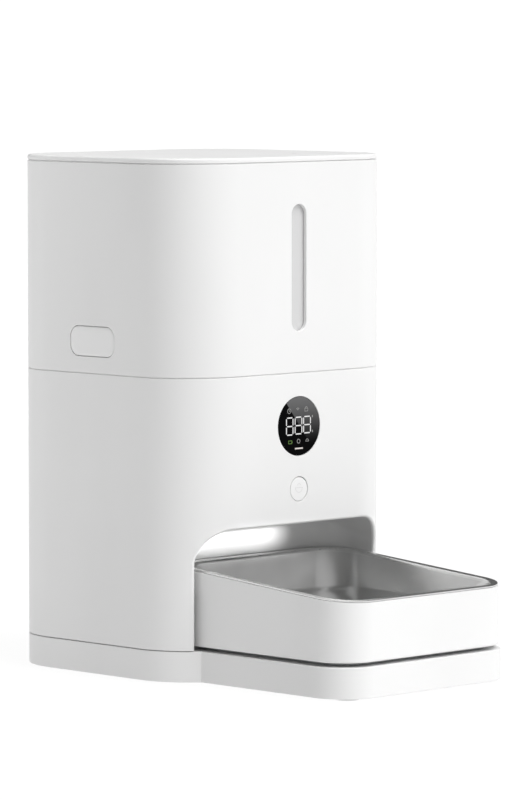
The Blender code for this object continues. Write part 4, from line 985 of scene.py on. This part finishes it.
foot_bend = 0.00018
levels = [(BASE_FOOT, base_low.z, -1.0), (foot_bend, base_low.z + foot_bend, -0.7)]
levels.append((0.0, base_low.z + BASE_FOOT, 0.0))
for angle in quarter(4):
    inset = BASE_EDGE * (1 - math.cos(angle))
    levels.append((inset, base_high.z - BASE_EDGE + BASE_EDGE * math.sin(angle), math.sin(angle)))
base_rows = [base_row(*level) for level in levels]
for near, far in zip(base_rows, base_rows[1:]):
    base_skin.strip(near, far, closed=True)
ceiling = base_high.z - DECK
wall_plan = base_plan(WALL)
base_skin.sheet(base_plan(BASE_EDGE), deck_holes, [], level_at(base_high.z, UPWARD))
base_skin.sheet(wall_plan, deck_holes, [], level_at(ceiling, -UPWARD))
on_floor = level_at(base_low.z, -UPWARD)
foot_rows = [[on_floor(x, y) for x, y in plan] for plan in (base_plan(BASE_FOOT), wall_plan)]
base_skin.strip(*foot_rows, closed=True)
inward = [-normal for point, normal in base_row(WALL, ceiling, 0.0)]
wall_rows = []
for height in (base_low.z, ceiling):
    wall_rows.append([(Vector((x, y, height)), normal) for (x, y), normal in zip(wall_plan, inward)])
base_skin.strip(*wall_rows, closed=True)
for hole in deck_holes:
    middle = Vector((sum(x for x, y in hole) / len(hole), sum(y for x, y in hole) / len(hole), 0.0))
    upper = [(Vector((x, y, base_high.z)), (middle - Vector((x, y, 0.0))).normalized()) for x, y in hole]
    lower = [(Vector((p.x, p.y, ceiling)), normal) for p, normal in upper]
    base_skin.strip(lower, upper, closed=True)
base_skin.piece("base_shell", "shell_white", "root", "shell_white", "base_tray")
print("base:", len(base_skin.faces), "faces")

# %% [markdown]
# ## Recess
# The recess behind the bowl is one smooth shell: its side walls turn into the back wall through a wide
# corner, and the roof through a small one. Rows of the arch are drawn further in as they near the back.


# %% Recess
SIDE_ROUND = 0.025
ROOF_ROUND = 0.008
BACK_CORNER = 0.006
LINER_GAP = 0.0001
BAY_STEPS = 14


def bay_rows(margin):
    """Rows of the recess from just behind the lip to its back wall, grown by a margin."""
    bottom = liner_low.z
    spots = arch_edge(BAY_HALF + margin, BAY_TOP + margin, BAY_CORNER + margin, bottom)
    lips = arch_edge(BAY_HALF, BAY_TOP, BAY_CORNER, bottom)
    first = []
    for (x, z, u, v), lip_spot in zip(spots, lips):
        first.append((x, lip_corner(*lip_spot, 1.0)[0].y + LIP_LAND + LINER_GAP, z))
    rows = [first]
    back = BAY_BACK + margin
    side_round, roof_round = SIDE_ROUND + margin, ROOF_ROUND + margin
    for angle in quarter(BAY_STEPS):
        place = back - side_round + side_round * math.sin(angle)
        into_roof = max(place - (back - roof_round), 0.0)
        side_in = side_round * (1 - math.cos(angle))
        roof_in = roof_round - math.sqrt(max(roof_round**2 - into_roof**2, 0.0))
        corner = max(BAY_CORNER + margin - side_in / 2, BACK_CORNER)
        edge = arch_edge(BAY_HALF + margin - side_in, BAY_TOP + margin - roof_in, corner, bottom)
        rows.append([(x, place, z) for x, z, u, v in edge])
    return rows


# %% [markdown]
# The shell has an inner and an outer face, joined along the lip and along the lower edges of its sides and
# back. Below, it stays open, because the bowl slides in over the tray.

# %% Recess shell
bay = bmesh.new()
inner_rows = [[bay.verts.new(point) for point in row] for row in bay_rows(0.0)]
outer_rows = [[bay.verts.new(point) for point in row] for row in bay_rows(LINER_WALL)]
for rows in (inner_rows, outer_rows):
    for near, far in zip(rows, rows[1:]):
        for here in range(len(near) - 1):
            bay.faces.new((near[here], near[here + 1], far[here + 1], far[here]))
    bay.faces.new(rows[-1])
inner_lip, outer_lip = inner_rows[0], outer_rows[0]
for here in range(len(inner_lip) - 1):
    bay.faces.new((inner_lip[here], inner_lip[here + 1], outer_lip[here + 1], outer_lip[here]))
for end in (0, -1):
    inner_edge, outer_edge = [[row[end] for row in rows] for rows in (inner_rows, outer_rows)]
    for here in range(len(inner_edge) - 1):
        bay.faces.new((inner_edge[here], inner_edge[here + 1], outer_edge[here + 1], outer_edge[here]))
bay.faces.new((inner_rows[-1][0], inner_rows[-1][-1], outer_rows[-1][-1], outer_rows[-1][0]))
bay_mesh = as_mesh("recess", bay)
smoothed(bay_mesh)
recess = dressed("recess", bay_mesh, "bay_white", "root", "bay_white", "bay_liner")
print("recess:", len(bay_mesh.polygons), "faces before its mouth is cut")

# %% [markdown]
# The food falls through the chute's mouth in the roof of the recess. The mouth is cut with a boolean while
# the recess is still a plain mesh, and the cutter is thrown away.


# %% Cut the chute's mouth
def cut(piece, outline, low, high):
    """Cut an upright prism out of a piece and keep the result as its mesh."""
    cutter = bpy.data.objects.new("cutter", stacked("cutter", [flat(outline, low), flat(outline, high)]))
    bpy.context.scene.collection.objects.link(cutter)
    boolean = piece.modifiers.new("mouth", "BOOLEAN")
    boolean.operation = "DIFFERENCE"
    boolean.solver = "EXACT"
    boolean.object = cutter
    bpy.context.view_layer.update()
    seen = piece.evaluated_get(bpy.context.evaluated_depsgraph_get())
    result = bpy.data.meshes.new_from_object(seen)
    piece.modifiers.clear()
    piece.data = result
    bpy.data.objects.remove(cutter)


CUT_ROOM = 0.004
chute_mouth = rounded(0.022, 0.0105, 0.004, 6, (0.0, FRONT + 0.024))
cut(recess, chute_mouth, BAY_TOP - CUT_ROOM, BAY_TOP + LINER_WALL + CUT_ROOM)
smooth_recess = recess.modifiers.new("even shading", "WEIGHTED_NORMAL")
smooth_recess.keep_sharp = True
print("recess:", len(recess.data.polygons), "faces")

# %% [markdown]
# ## Bowl
# The holder is white plastic, and the steel dish hangs in it by its flange. Both follow one rim plane that
# rises to the back. The dish narrows down slanted walls into a wide rounded floor, so that a pet can lick
# it clean. Its flange is a polished band, 3 mm wide, and it overhangs the holder with a thin dark gap
# below.

# %% Holder
steel_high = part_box("steel_bowl")[1]
HOLDER_HALF = holder_high.x
HOLDER_MIDDLE = (holder_low.y + holder_high.y) / 2
HOLDER_HALF_DEPTH = (holder_high.y - holder_low.y) / 2
HOLDER_CORNER = 0.025
HOLDER_WALL = 0.0022
STEEL = 0.001
SETBACK = holder_high.x - steel_high.x
RIM_SLOPE = 0.08
RIM_FRONT = 0.062
WELL_INSET = 0.0036
BEND = 0.0022
SLANT = 0.007
FLOOR_ROUND = 0.022
DISH_DEPTH = 0.033
FLOOR_Z = RIM_FRONT - DISH_DEPTH
BOWL_STEPS = 24


def bowl_plan(inset, corner=HOLDER_CORNER):
    """Plan of the holder, drawn in; the dish's lower part keeps wide corners."""
    keep = min(corner, HOLDER_CORNER - inset) if corner == HOLDER_CORNER else corner
    return rounded(HOLDER_HALF - inset, HOLDER_HALF_DEPTH - inset, keep, BOWL_STEPS, (0.0, HOLDER_MIDDLE))


def on_rim(inset, below, corner=HOLDER_CORNER):
    """A loop of the bowl laid on the tilted rim plane, or below it."""
    return [(x, y, RIM_FRONT + RIM_SLOPE * (y - holder_low.y) - below) for x, y in bowl_plan(inset, corner)]


RIM_GAP = 0.0003
step_down = STEEL + RIM_GAP
holder_loops = [
    flat(bowl_plan(0.0014), holder_low.z),
    flat(bowl_plan(0.0006), holder_low.z + 0.0002),
    flat(bowl_plan(0.0001), holder_low.z + 0.0007),
    flat(bowl_plan(0.0), holder_low.z + 0.0013),
    on_rim(0.0, step_down + 0.0005),
    on_rim(0.00015, step_down + 0.00015),
    on_rim(0.0005, step_down),
    on_rim(HOLDER_WALL, step_down),
    flat(bowl_plan(HOLDER_WALL + 0.0006), holder_low.z + 0.0052),
    flat(bowl_plan(HOLDER_WALL + 0.0016), holder_low.z + 0.0030),
    flat(bowl_plan(HOLDER_WALL + 0.0040), holder_low.z + 0.0022),
]
loft("bowl_outer", holder_loops, "bowl_white", "bowl", "bowl_white", "bowl_holder")
print("bowl holder of", len(holder_loops), "loops")

# %% [markdown]
# The dish is one loft that runs down its outer side and up its inner one. On top, a flange with a rounded
# edge bends down into the well over most of a quarter turn. The slanted walls follow, and a quarter round
# leads into the floor. The flange and its bend get a brighter finish, because they are polished.

# %% Dish
DISH_CORNER = HOLDER_CORNER - WELL_INSET
FLANGE_ROUND = 0.0003
BEND_TURN = 0.82
BEND_OUT, BEND_DOWN = 0.96, 0.72
POLISHED = BEND + 0.0012
top_inset = WELL_INSET + BEND
low_inset = top_inset + SLANT
dish_in = []
for angle in reversed(quarter(3)):
    inset = SETBACK + FLANGE_ROUND * (1 - math.sin(angle))
    dish_in.append(on_rim(inset, FLANGE_ROUND * (1 - math.cos(angle))))
for share in (0.0, 0.25, 0.5, 0.75, 1.0):
    angle = math.pi / 2 * share * BEND_TURN
    inset = WELL_INSET + BEND * math.sin(angle) / BEND_OUT
    dish_in.append(on_rim(inset, BEND * (1 - math.cos(angle)) / BEND_DOWN))
dish_out = [
    on_rim(SETBACK, STEEL),
    on_rim(WELL_INSET - 0.0003, STEEL),
    on_rim(top_inset - STEEL, BEND + 0.0006),
]
for angle in quarter(16):
    inset = low_inset + FLOOR_ROUND * (1 - math.cos(angle))
    rise = FLOOR_ROUND * (1 - math.sin(angle))
    dish_in.append(flat(bowl_plan(inset, DISH_CORNER), FLOOR_Z + rise))
    below = rise - STEEL * math.sin(angle)
    dish_out.append(flat(bowl_plan(inset - STEEL * math.cos(angle), DISH_CORNER), FLOOR_Z + below))
dish = loft("dish", list(reversed(dish_out)) + dish_in, "bowl_steel", "dish", "bowl_steel", "steel_bowl")
dish.data.materials.append(finishes["rim_steel"])
for polygon in dish.data.polygons:
    middle = polygon.center
    plane = RIM_FRONT + RIM_SLOPE * (middle.y - holder_low.y)
    if middle.z > plane - POLISHED:
        polygon.material_index = 1
print("dish:", len(dish.data.polygons), "faces")

# %% [markdown]
# ## Front panel and side buttons
# The display lens and the feed button are turned pieces: a profile is spun about a line through the front.
# Each has a flange behind the wall, and the feed button has a stem that reaches back to its switch.


# %% Lens and feed button
def turned(name, profile, height, finish, body, slot, *stands_for, steps=64):
    """Piece turned about a line along Y; profile is (radius, depth behind the face)."""
    loops = []
    for radius, depth in profile:
        turns = [2 * math.pi * step / steps for step in range(steps)]
        loops.append([(radius * math.cos(t), FRONT + depth, height + radius * math.sin(t)) for t in turns])
    return loft(name, loops, finish, body, slot, *stands_for, sharp=BUTTON_SHARP)


STEM = 0.0018
behind_wall = WALL + PANEL_GAP
lens_profile = [
    (DISPLAY_RADIUS * 0.5, 0.0001),
    (DISPLAY_RADIUS - 0.0004, 0.0001),
    (DISPLAY_RADIUS - 0.0001, 0.0002),
    (DISPLAY_RADIUS, 0.0005),
    (DISPLAY_RADIUS, behind_wall),
    (DISPLAY_RADIUS + LENS_LAP, behind_wall),
    (DISPLAY_RADIUS + LENS_LAP, behind_wall + 0.001),
]
black = "display_black"
turned("display_glass", lens_profile, DISPLAY_Z, black, "root", black, "display_lens", steps=96)
cap_profile = [
    (BUTTON_RADIUS * 0.6, 0.00014),
    (BUTTON_RADIUS - 0.0007, 0.00015),
    (BUTTON_RADIUS - 0.0002, 0.0003),
    (BUTTON_RADIUS, 0.0008),
    (BUTTON_RADIUS, behind_wall),
    (button_high.x, behind_wall),
    (button_high.x, behind_wall + 0.001),
    (STEM, behind_wall + 0.001),
    (STEM, button_high.y - FRONT),
]
turned("feed_cap", cap_profile, BUTTON_Z, "button_white", "feed_key", "button_white", "feed_button")
print("feed button at z", round(BUTTON_Z, 4))

# %% [markdown]
# The release buttons are lofts with a slightly crowned face and a flange behind the wall. On each, a leg
# hangs down into the lower body. The leg is a plain block, and it becomes part of the same mesh.


# %% Release buttons
def add_block(piece, low, high):
    """Add a box between two corners to a piece's mesh."""
    shape = bmesh.new()
    shape.from_mesh(piece.data)
    for corner in bmesh.ops.create_cube(shape, size=1.0)["verts"]:
        share = [value + 0.5 for value in corner.co]
        corner.co = [a + (b - a) * part for a, b, part in zip(low, high, share)]
    shape.to_mesh(piece.data)
    shape.free()
    smoothed(piece.data, BUTTON_SHARP)


RELEASE_SUNK = 0.0001
LEG_WALL = 0.0042
LEG_HALF = 0.007
LEG_TOP = RELEASE_Z - 0.005
release_profile = [(-0.0046, 0.00002), (-0.0020, 0.00006), (-0.0005, 0.0002), (-0.0001, 0.0004)]
release_profile += [(0.0, 0.0008), (0.0, behind_wall)]
release_profile += [(RELEASE_FLANGE, behind_wall), (RELEASE_FLANGE, behind_wall + 0.0015)]
for side, word in ((-1, "left"), (1, "right")):
    node, body = f"release_button_{word}", f"release_{word}"
    plan = []
    for grow, depth in release_profile:
        half_y, half_z = RELEASE_HALF_Y + grow, RELEASE_HALF_Z + grow
        ring = rounded(half_y, half_z, RELEASE_CORNER + grow, 12, (RELEASE_Y, RELEASE_Z))
        plan.append([(side * (HALF_WIDTH - RELEASE_SUNK - depth), y, z) for y, z in ring])
    white = "button_white"
    cap = loft(f"release_cap_{word}", plan, white, body, white, node, sharp=BUTTON_SHARP)
    node_low, node_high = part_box(node)
    reach = sorted((abs(node_low.x), abs(node_high.x)))
    near, far = sorted((side * (reach[1] - LEG_WALL), side * reach[0]))
    add_block(cap, (near, MIDDLE - LEG_HALF, node_low.z), (far, MIDDLE + LEG_HALF, LEG_TOP))
print("release buttons at z", round(RELEASE_Z, 4))

# %% [markdown]
# Behind each release button sits a small coil spring, which leans on a rib and shortens when the button is
# pressed. Here each spring only gets a mesh of its own, and its length is printed.

# %% Springs of the release buttons
for side, word in ((-1, "left"), (1, "right")):
    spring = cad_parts[f"release_spring_{word}"]
    coil_low, coil_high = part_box(f"release_spring_{word}")
    length = coil_high.x - coil_low.x
    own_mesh(spring)
    print("spring", word, round(MILLIMETRES * length, 2), "mm long")

# %% [markdown]
# The signs on the display are thin glowing shapes just in front of the glass. The feed cap has a faint
# raised bowl sign. All signs are generic ones: a clock, waves, a lock, a battery, a drop and a bowl. Their
# outlines are given in millimetres, which reads better at this size.

# %% Shapes of the signs
MARK_Y = FRONT + 0.00004
MARK_DEPTH = 0.00005


def mark(name, outlines, finish, body="root", slot="display_black"):
    """Thin mark just in front of the lens or the button, from flat (x, z) outlines in millimetres."""
    shape = bmesh.new()
    for outline in outlines:
        rows = []
        for depth in (0.0, MARK_DEPTH):
            spots = [(x / MILLIMETRES, MARK_Y + depth, z / MILLIMETRES) for x, z in outline]
            rows.append([shape.verts.new(spot) for spot in spots])
        shape.faces.new(rows[0])
        shape.faces.new(list(reversed(rows[1])))
        for here in range(len(outline)):
            after = (here + 1) % len(outline)
            shape.faces.new((rows[0][here], rows[1][here], rows[1][after], rows[0][after]))
    return dressed(name, as_mesh(name, shape), finish, body, slot)


def segments(left, right, low, high, stroke=0.72, gap=0.45):
    """The seven bars of a digit eight, each a slim hexagon."""
    middle, half = (low + high) / 2, stroke / 2
    bars = []
    for z in (low + half, middle, high - half):
        a, b = left + half + gap, right - half - gap
        under = [(a, z), (a + half, z - half), (b - half, z - half)]
        bars.append(under + [(b, z), (b - half, z + half), (a + half, z + half)])
    for x in (left + half, right - half):
        for a, b in ((low + half + gap, middle - gap), (middle + gap, high - half - gap)):
            beyond = [(x, a), (x + half, a + half), (x + half, b - half)]
            bars.append(beyond + [(x, b), (x - half, b - half), (x - half, a + half)])
    return bars


def ring_mark(x, z, outer, inner, start=0, end=360, steps=24):
    """Part of a ring as a band of small quadrilaterals."""
    bands = []
    for step in range(steps):
        a = math.radians(start + (end - start) * step / steps)
        b = math.radians(start + (end - start) * (step + 1) / steps)
        spots = ((outer, a), (outer, b), (inner, b), (inner, a))
        bands.append([(x + r * math.cos(t), z + r * math.sin(t)) for r, t in spots])
    return bands


def block(x0, z0, x1, z1):
    """A rectangle."""
    return [(x0, z0), (x1, z0), (x1, z1), (x0, z1)]


def frame_mark(x, z, half_x, half_z, stroke=0.35):
    """Outline of a rectangle."""
    return [
        block(x - half_x, z + half_z - stroke, x + half_x, z + half_z),
        block(x - half_x, z - half_z, x + half_x, z - half_z + stroke),
        block(x - half_x, z - half_z + stroke, x - half_x + stroke, z + half_z - stroke),
        block(x + half_x - stroke, z - half_z + stroke, x + half_x, z + half_z - stroke),
    ]


# %% [markdown]
# The signs sit in three rows: clock, waves and lock above the digits, and battery, drop and food below
# them, over a short bar. All but the digits and the bar are dim, and the battery is green.

# %% Signs on the display and the button
hands = [block(-9.05, 169.3, -8.75, 170.5), block(-8.9, 169.2, -8.0, 169.5)]
clock = ring_mark(-8.9, 169.4, 1.7, 1.3) + hands
waves = ring_mark(-1.2, 169.2, 2.0, 1.6, 45, 135, 8) + ring_mark(-1.2, 169.2, 1.1, 0.7, 45, 135, 6)
lock = frame_mark(6.6, 169.6, 1.5, 1.1) + ring_mark(6.6, 170.7, 1.0, 0.65, 0, 180, 10)
battery = frame_mark(-8.0, 149.5, 1.6, 1.1) + [block(-6.4, 149.1, -6.0, 149.9)]
food = [block(5.9, 149.2, 8.9, 149.6)] + ring_mark(7.4, 149.6, 1.4, 1.05, 0, 180, 10)
for name, outlines, finish in (
    ("digit_left", segments(-11.7, -5.1, 153.8, 165.4), "mark_white"),
    ("digit_middle", segments(-3.9, 2.9, 154.1, 165.5), "mark_white"),
    ("digit_right", segments(3.8, 10.7, 154.4, 165.6), "mark_white"),
    ("level_bar", [block(-3.7, 144.75, 3.5, 145.65)], "mark_warm"),
    ("clock_sign", clock, "mark_dim"),
    ("signal_sign", waves, "mark_dim"),
    ("lock_sign", lock, "mark_dim"),
    ("battery_sign", battery, "mark_green"),
    ("drop_sign", ring_mark(-0.4, 149.8, 1.5, 1.1), "mark_dim"),
    ("food_sign", food, "mark_dim"),
    ("unit_signs", [block(11.7, 164.4, 12.5, 165.8), block(11.7, 154.9, 12.5, 156.3)], "mark_dim"),
):
    mark(name, outlines, finish)
bowl_sign = ring_mark(0.0, 119.9, 3.1, 2.75, 180, 360, 16) + [block(-3.6, 119.9, 3.6, 120.25)]
bowl_sign += ring_mark(0.0, 120.9, 1.9, 1.55, 20, 160, 10)
mark("feed_sign", bowl_sign, "sign_grey", "feed_key", "button_white")
print("display marks in place")

# %% [markdown]
# ## Studio
# A wide pale floor runs to the horizon. It glows a little by itself, so that it looks white however the
# lamps stand, and its own colour is dark, so that it throws little light back up at the feeder.

# %% Floor
FLOOR_REACH = 400.0
FLOOR_GLOW = 0.90
floor_mesh = bpy.data.meshes.new("floor")
floor_corners = [(-FLOOR_REACH, -FLOOR_REACH, 0.0), (FLOOR_REACH, -FLOOR_REACH, 0.0)]
floor_corners += [(FLOOR_REACH, FLOOR_REACH, 0.0), (-FLOOR_REACH, FLOOR_REACH, 0.0)]
floor_mesh.from_pydata(floor_corners, [], [(0, 1, 2, 3)])
floor = bpy.data.objects.new("floor", floor_mesh)
bpy.context.scene.collection.objects.link(floor)
matt = {"Specular_IOR_Level": 0.0, "Emission_Strength": FLOOR_GLOW}
floor_paint = Finish("floor_white", (0.12, 0.12, 0.12), 0.9, **matt)
floor_paint.shader.inputs["Emission Color"].default_value = (1.0, 1.0, 1.0, 1.0)
floor_mesh.materials.append(floor_paint.material)
print("floor of", 2 * FLOOR_REACH, "m")

# %% [markdown]
# Three suns with wide discs give soft light: one from overhead for the lid and the rims, and two from the
# front, which skim the front wall. A tall softbox behind on the left lifts the rear edge, and a narrow one
# beside the bowl reaches under the opening into the recess. The front left corner gets the least of all of
# them and stays the darkest place of the column.


# %% Lamps
def sun(name, toward, strength, softness, mirrored=True):
    """Sun lamp with its angular size in degrees; gloss and metal may be kept from mirroring it."""
    lamp = bpy.data.lights.new(name, "SUN")
    lamp.energy = strength * math.pi
    lamp.angle = math.radians(softness)
    holder = bpy.data.objects.new(name, lamp)
    holder.rotation_euler = Vector(toward).to_track_quat("Z", "Y").to_euler()
    holder.visible_glossy = mirrored
    bpy.context.scene.collection.objects.link(holder)


sun("overhead", (0.05, 0.10, 1.0), 0.42, 40.0)
sun("front", (0.12, -0.60, 0.79), 0.72, 46.0, mirrored=False)
sun("front glow", (0.30, -0.57, 0.81), 0.20, 90.0)


def panel(name, place, aim, size, power, spread):
    """Rectangular softbox that isn't seen by the camera."""
    lamp = bpy.data.lights.new(name, "AREA")
    lamp.shape = "RECTANGLE"
    lamp.size, lamp.size_y = size
    lamp.energy = power
    lamp.spread = math.radians(spread)
    holder = bpy.data.objects.new(name, lamp)
    holder.location = place
    holder.rotation_euler = (Vector(place) - Vector(aim)).to_track_quat("Z", "Y").to_euler()
    holder.visible_camera = False
    bpy.context.scene.collection.objects.link(holder)


panel("rear softbox", (-0.19, 0.25, 0.20), (-0.098, 0.08, 0.17), (0.08, 0.9), 0.075, 100.0)
panel("bowl light", (0.225, -0.211, 0.082), (-0.046, 0.016, 0.086), (0.090, 0.010), 0.0058, 5.0)

# %% [markdown]
# The room around is dark above and bright at the horizon and below it. So the lower parts of upright walls
# get a little light from the side, and the steel mirrors a bright band low down, as it would in a white
# studio.

# %% Room
world = bpy.data.worlds.new("studio")
world.use_nodes = True
bpy.context.scene.world = world
background = world.node_tree.nodes["Background"]
direction = world.node_tree.nodes.new("ShaderNodeTexCoord")
height = world.node_tree.nodes.new("ShaderNodeSeparateXYZ")
fade = world.node_tree.nodes.new("ShaderNodeMapRange")
fade.interpolation_type = "SMOOTHSTEP"
for socket, value in (("From Min", 0.02), ("From Max", 0.12), ("To Min", 1.1), ("To Max", 0.07)):
    fade.inputs[socket].default_value = value
world.node_tree.links.new(direction.outputs["Generated"], height.inputs[0])
world.node_tree.links.new(height.outputs["Z"], fade.inputs["Value"])
world.node_tree.links.new(fade.outputs[0], background.inputs["Strength"])
background.inputs["Color"].default_value = (1.0, 1.0, 1.0, 1.0)

# %% [markdown]
# ## Camera
# A long lens from some three metres away, in front on the left and a little above, keeps the upright edges
# nearly parallel. The second vector points from the feeder back to the camera.

# %% Camera
camera_data = bpy.data.cameras.new("camera")
camera_data.sensor_width = 36.0
camera_data.lens = 221.54
camera_data.clip_end = 2000.0
camera = bpy.data.objects.new("camera", camera_data)
camera.location = (-2.2205, -2.2280, 0.4209)
camera.rotation_euler = Vector((-0.70347, -0.70640, 0.07811)).to_track_quat("Z", "Y").to_euler()
bpy.context.scene.collection.objects.link(camera)
bpy.context.scene.camera = camera
bpy.context.scene.view_settings.view_transform = "Standard"
